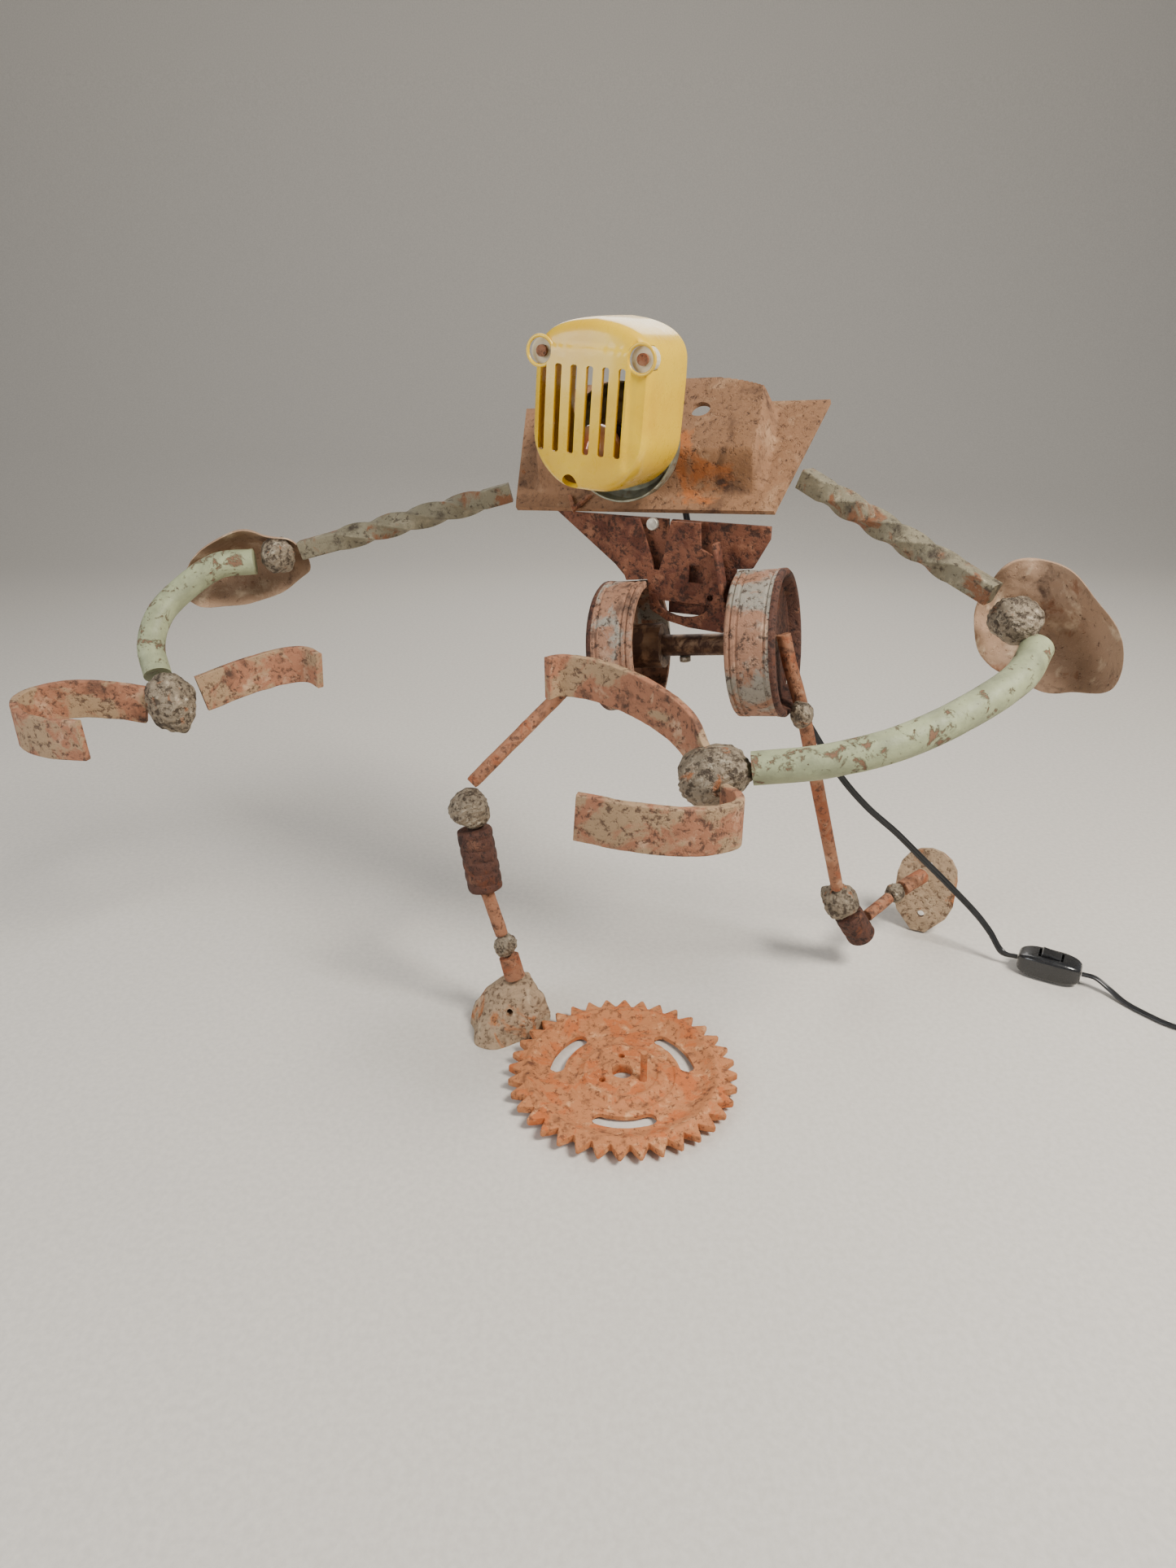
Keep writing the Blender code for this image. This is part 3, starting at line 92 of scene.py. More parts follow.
def smooth_path(knots: Array, count: int) -> Array:
    """Points evenly spaced on a Catmull-Rom curve.

    Each span between knots b and c is half of 2b + (c - a)t + (2a - 5b + 4c - d)t^2
    + (3b - a - 3c + d)t^3, and the points are then spaced evenly by arc length.

    Args:
        knots: The points that the curve goes through.
        count: How many points to return.

    Returns:
        An array of count points.
    """
    ends = np.vstack([2 * knots[0] - knots[1], knots, 2 * knots[-1] - knots[-2]])
    a, b, c, d = (ends[i:len(ends) - 3 + i, None] for i in range(4))
    t = np.linspace(0, 1, 32, endpoint=False)[None, :, None]
    fine = 0.5 * (2 * b + (c - a) * t + (2 * a - 5 * b + 4 * c - d) * t ** 2
                  + (3 * b - a - 3 * c + d) * t ** 3)
    fine = np.vstack([fine.reshape(-1, 3), knots[-1]])
    run = np.concatenate([[0], np.cumsum(np.linalg.norm(np.diff(fine, axis=0), axis=1))])
    goal = np.linspace(0, run[-1], count)
    return np.stack([np.interp(goal, run, fine[:, k]) for k in range(3)], axis=1)


def straight(start: Array, end: Array, count: int) -> Array:
    """Evenly spaced points from start to end."""
    share = np.linspace(0, 1, count)[:, None]
    return np.asarray(start) + (np.asarray(end) - np.asarray(start)) * share


def crust(points: Array, size: float, seed: int, octaves: int = 4) -> Array:
    """Rough relief from about -1 to 1: a sum of sine waves in fixed random directions.

    Args:
        points: Where to read the relief, in metres.
        size: The wavelength of its largest lumps, halved with each octave.
        seed: Picks the waves.
        octaves: How many sizes of lump are summed, each half as strong as the last.

    Returns:
        One number for each point.
    """
    rng = np.random.default_rng(seed)
    total = np.zeros(points.shape[:-1])
    for octave in range(octaves):
        waves = unit(rng.normal(size=(7, 3))) * (2 * math.pi / size * 2 ** octave)
        phase = rng.uniform(0, 2 * math.pi, 7)
        total += np.sin(points @ waves.T + phase).sum(axis=-1) / 7 * 1.6 * 0.5 ** octave
    return total


def round_section(cols: int) -> Array:
    """Unit circle directions, as (side, lift) pairs."""
    angle = np.linspace(0, 2 * math.pi, cols, endpoint=False)
    return np.stack([np.cos(angle), np.sin(angle)], axis=-1)


def box_section(width: float, height: float, corner: float, cols: int) -> Array:
    """A rounded rectangle: the circle of the corner's radius, pushed out to the four corners.

    Args:
        width: Its size along the side direction.
        height: Its size along the lift direction.
        corner: The radius of its corners.
        cols: How many points go round it, a multiple of four.

    Returns:
        The (side, lift) points.
    """
    turn = np.linspace(0, 2 * math.pi, cols, endpoint=False) + 1e-4
    circle = np.stack([np.cos(turn), np.sin(turn)], axis=-1)
    push = np.sign(circle) * (np.array([width, height]) / 2 - corner)
    return circle * corner + push


def sweep(path: Array, section: Array, up: Array, scale: Array | float = 1.0) -> Array:
    """Carry a section along a path: centre + side * s + lift * l at each point.

    The side direction is the path's direction crossed with up, and the lift direction is
    square to both.

    Args:
        path: The centreline.
        section: (cols, 2) or (rows, cols, 2) offsets along side and lift.
        up: A direction that the path never follows.
        scale: A factor for each row.

    Returns:
        A (rows, cols, 3) grid.
    """
    heading = unit(np.gradient(path, axis=0))
    side = unit(np.cross(heading, np.asarray(up, float)))
    lift = np.cross(heading, side)
    factor = np.broadcast_to(np.asarray(scale, float), (len(path),))[:, None, None]
    offsets = np.broadcast_to(section, (len(path), *section.shape[-2:])) * factor
    return path[:, None] + offsets[..., :1] * side[:, None] + offsets[..., 1:] * lift[:, None]


def revolve(profile: Array, placement: Matrix, cols: int) -> Array:
    """Turn (radius, height) points about the placement's +Z.

    Args:
        profile: The points, from one end of the surface to the other.
        placement: Where the axis stands.
        cols: How many steps go round.

    Returns:
        A (rows, cols, 3) grid, radius * cos and radius * sin of the angle at each height.
    """
    ring = round_section(cols)
    level = np.broadcast_to(profile[:, None, 1:], (len(profile), cols, 1))
    local = np.concatenate([profile[:, None, :1] * ring[None], level], axis=-1)
    return placed(local, placement)


def placed(points: Array, placement: Matrix) -> Array:
    """The points moved by a placement."""
    turn = np.array(placement.to_3x3())
    return points @ turn.T + np.array(placement.translation)


def along(start: Array, end: Array) -> Matrix:
    """A placement at start with +Z towards end."""
    heading = Vector(np.asarray(end) - np.asarray(start)).normalized()
    return Matrix.Translation(Vector(start)) @ heading.to_track_quat('Z', 'X').to_matrix().to_4x4()


def densified(profile: list[tuple[float, float]], step: float) -> Array:
    """Points no further apart than step along a profile's straight runs."""
    corners = np.array(profile, float)
    run = np.concatenate([[0], np.cumsum(np.linalg.norm(np.diff(corners, axis=0), axis=1))])
    goal = np.unique(np.concatenate([run, np.arange(0, run[-1], step)]))
    return np.stack([np.interp(goal, run, corners[:, k]) for k in range(2)], axis=1)


def skin(name: str, grid: Array, around: bool = True, ends: Ends = Ends.CAPPED,
         sharp: float = 40.0) -> bpy.types.Object:
    """A mesh object from a grid of points, with its place in its mesh.

    Args:
        name: The piece's name.
        grid: (rows, cols, 3) points.
        around: Whether the last column joins the first.
        ends: Whether the first and last rows are closed by a fan round their middle.
        sharp: Edges that turn more than this many degrees stay sharp.

    Returns:
        The object, with a UV map whose U goes round and whose V goes along.
    """
    rows, cols = grid.shape[:2]
    span = cols if around else cols - 1
    row, col = (part.ravel() for part in np.meshgrid(np.arange(rows - 1), np.arange(span),
                                                     indexing="ij"))
    after = (col + 1) % cols
    quads = np.stack([row * cols + col, row * cols + after, (row + 1) * cols + after,
                      (row + 1) * cols + col], axis=-1)
    verts = grid.reshape(-1, 3)
    faces = quads.tolist()
    uv = np.stack([np.stack([col, col + 1, col + 1, col], -1) / span,
                   np.stack([row, row, row + 1, row + 1], -1) / (rows - 1)], -1).reshape(-1, 2)
    if ends is Ends.CAPPED and around:
        middles = np.stack([grid[0].mean(axis=0), grid[-1].mean(axis=0)])
        turn = np.arange(cols)
        first = np.stack([np.full(cols, len(verts)), (turn + 1) % cols, turn], -1)
        base = (rows - 1) * cols
        last = np.stack([np.full(cols, len(verts) + 1), base + turn, base + (turn + 1) % cols], -1)
        verts = np.vstack([verts, middles])
        faces += first.tolist() + last.tolist()
        uv = np.vstack([uv, np.zeros((6 * cols, 2))])
    data = bpy.data.meshes.new(name)
    data.from_pydata(verts.tolist(), [], faces)
    layer = data.uv_layers.new(name="UVMap")
    layer.data.foreach_set("uv", uv.ravel())
    item = bpy.data.objects.new(name, data)
    bpy.context.scene.collection.objects.link(item)
    if around:
        outwards(data)
    smooth(data, sharp)
    return item


def outwards(data: bpy.types.Mesh) -> None:
    """Turn a closed mesh's faces outwards."""
    shape = bmesh.new()
    shape.from_mesh(data)
    bmesh.ops.recalc_face_normals(shape, faces=shape.faces)
    shape.to_mesh(data)
    shape.free()


def smooth(data: bpy.types.Mesh, sharp: float) -> None:
    """Shade a mesh smooth, with edges over sharp degrees kept."""
    data.shade_smooth()
    data.set_sharp_from_angle(angle=math.radians(sharp))


def copy_of(node: str, name: str, sharp: float = 30.0) -> bpy.types.Object:
    """A copy of a CAD node with its loose triangles merged, shaded smooth."""
    source = frame["nodes"][node]
    shape = bmesh.new()
    shape.from_mesh(source.data)
    bmesh.ops.remove_doubles(shape, verts=shape.verts, dist=0.000004)
    bmesh.ops.dissolve_limit(shape, angle_limit=0.01, verts=shape.verts, edges=shape.edges)
    data = bpy.data.meshes.new(name)
    shape.to_mesh(data)
    shape.free()
    item = bpy.data.objects.new(name, data)
    bpy.context.scene.collection.objects.link(item)
    smooth(data, sharp)
    return item


def skeleton(node: str) -> tuple[Array, Array, Array]:
    """The middle, the axes and the half sizes of a CAD node, from its vertices' spread.

    Args:
        node: The CAD node's name.

    Returns:
        Its middle, its three axes as rows with the longest first, and its half sizes on them.
    """
    data = frame["nodes"][node].data
    flat = np.empty(len(data.vertices) * 3)
    data.vertices.foreach_get("co", flat)
    verts = flat.reshape(-1, 3) @ np.array(frame["nodes"][node].matrix_world.to_3x3()).T
    verts += np.array(frame["nodes"][node].matrix_world.translation)
    mean = verts.mean(axis=0)
    axes = np.linalg.svd(verts - mean, full_matrices=False)[2]
    reach = (verts - mean) @ axes.T
    low, high = reach.min(axis=0), reach.max(axis=0)
    return mean + (low + high) / 2 @ axes, axes, (high - low) / 2


def punched(item: bpy.types.Object, cutters: list[bpy.types.Object], sharp: float = 35.0) -> None:
    """Cut each cutter out of a piece for good, and remove the cutters."""
    for cutter in cutters:
        hole = item.modifiers.new(cutter.name, 'BOOLEAN')
        hole.operation = 'DIFFERENCE'
        hole.object = cutter
    bpy.context.view_layer.update()
    seen = item.evaluated_get(bpy.context.evaluated_depsgraph_get())
    made = bpy.data.meshes.new_from_object(seen)
    item.modifiers.clear()
    item.data = made
    smooth(made, sharp)
    for cutter in cutters:
        bpy.data.objects.remove(cutter, do_unlink=True)


def drill(name: str, placement: Matrix, diameter: float, length: float) -> bpy.types.Object:
    """A round cutter from the placement's origin along its +Z."""
    profile = np.array([[diameter / 2, 0.0], [diameter / 2, length]])
    return skin(name, revolve(profile, placement, 48))


# ---------------------------------------------------------------- finishes

def linear(colour: Colour) -> tuple[float, float, float, float]:
    """A display colour from 0 to 255 as a linear one for the shader."""
    value = np.array(colour) / 255
    low = value / 12.92
    high = ((value + 0.055) / 1.055) ** 2.4
    return (*np.where(value <= 0.04045, low, high).tolist(), 1.0)


class Graph:
    """A material's node tree, with its shader and its object coordinates at hand."""

    def __init__(self, name: str) -> None:
        """Start a material with one Principled shader."""
        self.material = bpy.data.materials.new(name)
        self.material.use_nodes = True
        self.tree = self.material.node_tree
        self.shader = self.tree.nodes["Principled BSDF"]
        self.place = self.tree.nodes.new("ShaderNodeTexCoord").outputs["Object"]

    def link(self, source: bpy.types.NodeSocket, target: bpy.types.NodeSocket) -> None:
        """Join two sockets."""
        self.tree.links.new(source, target)

    def noise(self, size: float, detail: float = 6.0, rough: float = 0.6, twist: float = 0.0,
              shift: float = 0.0, stretch: tuple[float, float, float] = (1, 1, 1)
              ) -> bpy.types.NodeSocket:
        """Fractal noise from 0 to 1 whose largest lumps are about size across."""
        mapping = self.tree.nodes.new("ShaderNodeMapping")
        mapping.inputs["Location"].default_value = (shift, shift * 0.7, shift * 1.3)
        mapping.inputs["Scale"].default_value = stretch
        self.link(self.place, mapping.inputs["Vector"])
        made = self.tree.nodes.new("ShaderNodeTexNoise")
        made.inputs["Scale"].default_value = 1.0 / size
        made.inputs["Detail"].default_value = detail
        made.inputs["Roughness"].default_value = rough
        made.inputs["Distortion"].default_value = twist
        self.link(mapping.outputs["Vector"], made.inputs["Vector"])
        return made.outputs["Fac"]

    def cells(self, size: float) -> bpy.types.NodeSocket:
        """Distance to the nearest of scattered points, for pits and spangles."""
        made = self.tree.nodes.new("ShaderNodeTexVoronoi")
        made.inputs["Scale"].default_value = 1.0 / size
        self.link(self.place, made.inputs["Vector"])
        return made.outputs["Distance"]

    def ramp(self, value: bpy.types.NodeSocket, stops: list[tuple[float, Colour]]
             ) -> bpy.types.NodeSocket:
        """Colours read from a value."""
        made = self.tree.nodes.new("ShaderNodeValToRGB")
        while len(made.color_ramp.elements) < len(stops):
            made.color_ramp.elements.new(0.5)
        for element, (place, colour) in zip(made.color_ramp.elements, stops):
            element.position = place
            element.color = linear(colour)
        self.link(value, made.inputs["Fac"])
        return made.outputs["Color"]

    def band(self, value: bpy.types.NodeSocket, low: float, high: float, to_low: float = 0.0,
             to_high: float = 1.0) -> bpy.types.NodeSocket:
        """A value from low to high brought to a new range and clamped."""
        made = self.tree.nodes.new("ShaderNodeMapRange")
        for socket, number in zip(("From Min", "From Max", "To Min", "To Max"),
                                  (low, high, to_low, to_high)):
            made.inputs[socket].default_value = number
        self.link(value, made.inputs["Value"])
        return made.outputs["Result"]

    def mix(self, share: bpy.types.NodeSocket, first: bpy.types.NodeSocket,
            second: bpy.types.NodeSocket | Colour) -> bpy.types.NodeSocket:
        """Second over first, by share."""
        made = self.tree.nodes.new("ShaderNodeMix")
        made.data_type = 'RGBA'
        self.link(share, made.inputs["Factor"])
        self.link(first, made.inputs[6])
        if isinstance(second, tuple):
            made.inputs[7].default_value = linear(second)
        else:
            self.link(second, made.inputs[7])
        return made.outputs[2]

    def math(self, kind: str, first: bpy.types.NodeSocket, second: bpy.types.NodeSocket | float
             ) -> bpy.types.NodeSocket:
        """One arithmetic step on two values, such as a sum or a product."""
        made = self.tree.nodes.new("ShaderNodeMath")
        made.operation = kind
        self.link(first, made.inputs[0])
        if isinstance(second, (int, float)):
            made.inputs[1].default_value = second
        else:
            self.link(second, made.inputs[1])
        return made.outputs[0]

    def bump(self, height: bpy.types.NodeSocket, depth: float, strength: float = 1.0) -> None:
        """Relief of a given depth in metres."""
        made = self.tree.nodes.new("ShaderNodeBump")
        made.inputs["Distance"].default_value = depth
        made.inputs["Strength"].default_value = strength
        self.link(height, made.inputs["Height"])
        self.link(made.outputs["Normal"], self.shader.inputs["Normal"])

    def set(self, **values: float) -> None:
        """Plain numbers on the shader's own sockets, named with underscores."""
        for name, value in values.items():
            self.shader.inputs[name.replace("_", " ")].default_value = value


@dataclass(frozen=True)
class Rust:
    """Rusted steel: mottled ground, blooms of another colour, grain and dark pits."""

    name: str
    dark: Colour
    ground: Colour
    pale: Colour
    bloom: Colour
    patch: float = 0.020
    bloom_share: float = 0.40
    pit_share: float = 0.36
    roughness: float = 0.80
    metallic: float = 0.15
    relief: float = 0.0007
    shift: float = 0.0

    def material(self) -> bpy.types.Material:
        """Build the material."""
        graph = Graph(self.name)
        broad = graph.noise(self.patch, 8, 0.62, 0.3, self.shift)
        colour = graph.ramp(broad, [(0.30, self.dark), (0.44, self.ground), (0.56, self.ground),
                                    (0.70, self.pale)])
        edge = 0.72 - self.bloom_share * 0.45
        bloom = graph.noise(self.patch * 1.6, 9, 0.65, 0.6, self.shift + 3.1)
        colour = graph.mix(graph.band(bloom, edge, edge + 0.07), colour, self.bloom)
        grain = graph.noise(0.0022, 5, 0.7, 0.0, self.shift + 7.7)
        colour = graph.mix(graph.band(grain, 0.58, 0.74, 0.0, 0.55), colour, self.pale)
        pits = graph.noise(0.0042, 4, 0.75, 0.2, self.shift + 5.3)
        hollow = graph.band(pits, self.pit_share, self.pit_share + 0.09, 0.85, 0.0)
        colour = graph.mix(hollow, colour, self.dark)
        graph.link(colour, graph.shader.inputs["Base Color"])
        graph.link(graph.band(grain, 0.3, 0.7, self.roughness - 0.12, self.roughness + 0.12),
                   graph.shader.inputs["Roughness"])
        graph.set(Metallic=self.metallic)
        height = graph.math('ADD', graph.math('MULTIPLY', grain, 0.45),
                            graph.math('MULTIPLY', graph.band(pits, self.pit_share - 0.08,
                                                              self.pit_share + 0.16), 0.8))
        height = graph.math('ADD', height, graph.math('MULTIPLY', broad, 1.2))
        graph.bump(height, self.relief)
        return graph.material


@dataclass(frozen=True)
class ChippedPaint:
    """Old paint, chalky and pitted, with rust in its chips."""

    name: str
    paint: Colour
    faded: Colour
    rust: Colour
    chips: float = 0.40

    def material(self) -> bpy.types.Material:
        """Build the material."""
        graph = Graph(self.name)
        colour = graph.ramp(graph.noise(0.016, 6, 0.6), [(0.34, self.faded), (0.62, self.paint)])
        chips = graph.noise(0.011, 9, 0.72, 0.4, 2.0)
        bare = graph.band(chips, self.chips - 0.03, self.chips + 0.03, 1.0, 0.0)
        colour = graph.mix(bare, colour, self.rust)
        spots = graph.noise(0.0024, 3, 0.6, 0.0, 4.0)
        colour = graph.mix(graph.band(spots, 0.66, 0.72, 0.0, 0.9), colour, (70, 48, 34))
        graph.link(colour, graph.shader.inputs["Base Color"])
        graph.link(graph.band(chips, 0.3, 0.6, 0.85, 0.50), graph.shader.inputs["Roughness"])
        height = graph.math('ADD', graph.band(chips, self.chips - 0.03, self.chips + 0.03),
                            graph.math('MULTIPLY', spots, -0.6))
        graph.bump(height, 0.0005)
        return graph.material


@dataclass(frozen=True)
class Metal:
    """Bare or plated metal with spangle, stain and fine scratches."""

    name: str
    bright: Colour
    dull: Colour
    stain: Colour
    roughness: float = 0.40
    stain_share: float = 0.35
    spangle: float = 0.006

    def material(self) -> bpy.types.Material:
        """Build the material."""
        graph = Graph(self.name)
        colour = graph.ramp(graph.cells(self.spangle), [(0.15, self.bright), (0.75, self.dull)])
        dirt = graph.noise(0.012, 8, 0.65, 0.4, 1.0)
        share = graph.band(dirt, 0.70 - self.stain_share * 0.5, 0.80 - self.stain_share * 0.5)
        colour = graph.mix(share, colour, self.stain)
        graph.link(colour, graph.shader.inputs["Base Color"])
        fine = graph.noise(0.0012, 4, 0.6, 0.0, 0.0, (1, 1, 6))
        graph.link(graph.band(dirt, 0.35, 0.7, self.roughness, self.roughness + 0.3),
                   graph.shader.inputs["Roughness"])
        graph.set(Metallic=0.75)
        graph.bump(graph.math('ADD', fine, dirt), 0.0002)
        return graph.material


@dataclass(frozen=True)
class Moulding:
    """Moulded plastic or enamel: nearly even colour, handling marks and light dust."""

    name: str
    colour: Colour
    shade: Colour
    roughness: float = 0.30
    coat: float = 0.0
    dust: float = 0.15

    def material(self) -> bpy.types.Material:
        """Build the material."""
        graph = Graph(self.name)
        broad = graph.noise(0.035, 5, 0.55, 0.2)
        colour = graph.ramp(broad, [(0.34, self.shade), (0.56, self.colour)])
        specks = graph.noise(0.0016, 6, 0.7, 0.0, 2.0)
        colour = graph.mix(graph.band(specks, 0.66, 0.76, 0.0, self.dust), colour, (150, 120, 80))
        graph.link(colour, graph.shader.inputs["Base Color"])
        marks = graph.noise(0.008, 9, 0.7, 1.0, 5.0)
        graph.link(graph.band(marks, 0.35, 0.7, self.roughness - 0.06, self.roughness + 0.14),
                   graph.shader.inputs["Roughness"])
        graph.set(Coat_Weight=self.coat, Coat_Roughness=0.08)
        graph.bump(graph.math('ADD', graph.math('MULTIPLY', specks, 0.3), broad), 0.00012)
        return graph.material


@dataclass(frozen=True)
class LampGlass:
    """Coated lamp glass with a patchy warm tint."""

    name: str

    def material(self) -> bpy.types.Material:
        """Build the material."""
        graph = Graph(self.name)
        tints = [(0.35, (205, 120, 90)), (0.6, (236, 214, 196))]
        colour = graph.ramp(graph.noise(0.03, 3, 0.5), tints)
        graph.link(colour, graph.shader.inputs["Base Color"])
        graph.link(graph.band(graph.noise(0.004, 4, 0.6), 0.3, 0.7, 0.08, 0.16),
                   graph.shader.inputs["Roughness"])
        graph.set(Coat_Weight=0.6, Metallic=0.2)
        return graph.material


class Finish(Enum):
    """The named finishes of this lamp, each also a material slot of the record."""

    PLATE = Rust("plate_rust", (74, 50, 36), (144, 106, 76), (178, 142, 108), (172, 104, 56),
                 0.030, 0.22, 0.33, 0.85, 0.1, 0.0009)
    CHEST = Rust("chest_rust", (50, 30, 22), (124, 76, 54), (156, 106, 78), (98, 54, 38),
                 0.012, 0.5, 0.40, 0.75, 0.2, 0.0006, 1.0)
    ROD = Rust("rod_rust", (82, 54, 40), (158, 108, 78), (190, 146, 114), (150, 88, 56),
               0.012, 0.45, 0.38, 0.75, 0.15, 0.0005, 2.0)
    STRAP = Rust("strap_rust", (78, 54, 42), (160, 108, 80), (196, 162, 130), (164, 136, 104),
                 0.016, 0.55, 0.38, 0.78, 0.15, 0.0005, 3.0)
    SPROCKET = Rust("sprocket_rust", (110, 66, 42), (190, 124, 78), (222, 168, 120), (190, 106, 56),
                    0.011, 0.45, 0.37, 0.8, 0.2, 0.00035, 4.0)
    SLEEVE = Rust("sleeve_rust", (38, 24, 20), (86, 54, 42), (124, 84, 62), (104, 58, 36),
                  0.010, 0.35, 0.40, 0.75, 0.25, 0.0006, 5.0)
    CASTING = Rust("casting_rust", (96, 72, 54), (176, 150, 120), (208, 186, 154), (182, 116, 70),
                   0.016, 0.35, 0.38, 0.85, 0.15, 0.0009, 6.0)
    WELD = Rust("weld_slag", (62, 50, 40), (142, 128, 108), (196, 186, 164), (158, 104, 68),
                0.008, 0.3, 0.42, 0.6, 0.5, 0.0007, 7.0)
    BAR = Rust("bar_patina", (66, 56, 44), (128, 120, 98), (164, 154, 128), (126, 84, 56),
               0.014, 0.42, 0.36, 0.65, 0.3, 0.0004, 8.0)
    SHELL = Rust("shell_rust", (78, 56, 42), (160, 130, 104), (208, 184, 154), (136, 96, 70),
                 0.020, 0.3, 0.30, 0.8, 0.1, 0.0006, 9.0)
    DRUM = Rust("drum_rust", (64, 48, 40), (154, 114, 90), (192, 160, 134), (148, 142, 130),
                0.020, 0.5, 0.38, 0.75, 0.2, 0.0006, 10.0)
    SAGE = ChippedPaint("sage_paint", (160, 165, 128), (132, 136, 106), (122, 90, 66), 0.41)
    AXLE = Metal("axle_steel", (132, 104, 80), (84, 60, 44), (60, 40, 30), 0.38, 0.5, 0.010)
    GALVANISED = Metal("galvanised", (176, 178, 160), (136, 138, 120), (120, 96, 70), 0.40, 0.3)
    ZINC = Metal("bright_zinc", (214, 210, 198), (168, 162, 150), (110, 90, 66), 0.26, 0.25, 0.003)
    YELLOW = Moulding("head_yellow", (234, 192, 40), (222, 176, 30), 0.28, 0.35, 0.25)
    IVORY = Moulding("clip_ivory", (222, 212, 182), (196, 184, 150), 0.45, 0.0, 0.4)
    HOLDER = Moulding("holder_black", (34, 32, 30), (24, 22, 20), 0.35)
    CORD = Moulding("cord_black", (26, 26, 27), (18, 18, 18), 0.34, 0.2, 0.1)
    SWITCH = Moulding("switch_black", (30, 30, 31), (20, 20, 20), 0.26, 0.5, 0.1)
    GLASS = LampGlass("lamp_glass")


class Workshop:
    """Keeps one material for each finish, and signs pieces off."""

    def __init__(self) -> None:
        """Make the materials, and give every CAD node that of its own slot."""
        self.materials = {item: item.value.material() for item in Finish}
        slots = {item.value.name: item for item in Finish}
        for part in frame["record"]["subparts"]:
            finish = slots[part["material_slot"]]
            self.paint(frame["nodes"][part["node"]], finish)

    def paint(self, item: bpy.types.Object, finish: Finish) -> None:
        """Give an object one material in all its slots."""
        if not item.data.materials:
            item.data.materials.append(self.materials[finish])
        for index in range(len(item.material_slots)):
            item.material_slots[index].material = self.materials[finish]

    def fit(self, item: bpy.types.Object, finish: Finish, *nodes: str, body: str = "frame"
            ) -> bpy.types.Object:
        """Dress a piece, ride it on its body and let it stand for its CAD nodes.

        Args:
            item: The piece.
            finish: What it is dressed in.
            nodes: The CAD nodes that it stands for, if any.
            body: The body that it rides on.

        Returns:
            The piece.
        """
        self.paint(item, finish)
        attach(item, body)
        if nodes:
            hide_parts(*nodes)
        log.info("%s: %d faces", item.name, len(item.data.polygons))
        return item


# ---------------------------------------------------------------- parts of the lamp

@dataclass
class Bars:
    """Round bars and weld metal, which most of the lamp is made of."""

    shop: Workshop

    def rod(self, name: str) -> None:
        """A rusty bar in place of the straight CAD one, with an uneven skin and eased ends."""
        middle, axes, half = skeleton(name)
        rows = 90
        path = straight(middle - axes[0] * half[0], middle + axes[0] * half[0], rows)
        ease = np.clip(np.minimum(np.arange(rows), np.arange(rows)[::-1]) / 2, 0, 1)
        grid = sweep(path, round_section(40) * half[1:].mean(), axes[1], 0.88 + 0.12 * ease ** 0.5)
        relief = 1 + 0.030 * (crust(grid, half[1] * 2.4, len(name)) - 0.3)
        grid = path[:, None] + (grid - path[:, None]) * relief[..., None]
        self.shop.fit(skin(f"{name}_bar", grid), Finish.ROD, name)

    def weld(self, name: str, seed: int, grow: float = 1.06) -> None:
        """Weld metal: an ellipsoid with big lumps, runs and fine crust over it.

        Args:
            name: The CAD node that it stands for.
            seed: Picks its lumps.
            grow: How much larger than the CAD one it is, so that it wets what it joins.
        """
        middle, axes, half = skeleton(name)
        lat, lon = np.meshgrid(np.linspace(0.02, math.pi - 0.02, 72),
                               np.linspace(0, 2 * math.pi, 96, endpoint=False), indexing="ij")
        ball = np.stack([np.cos(lat), np.sin(lat) * np.cos(lon), np.sin(lat) * np.sin(lon)], -1)
        size = float(half.min())
        lumps = crust(ball * size, size * 1.5, seed, 2) * 0.12
        fine = crust(ball * size, size * 0.42, seed + 1, 3) * 0.035
        runs = 0.018 * np.sin(ball @ unit(np.array([0.3, 1.0, 0.5])) * 26 + lumps * 30)
        grid = middle + (ball * half * (grow + lumps + fine + runs)[..., None]) @ axes
        self.shop.fit(skin(f"{name}_bead", grid, sharp=60), Finish.WELD, name)


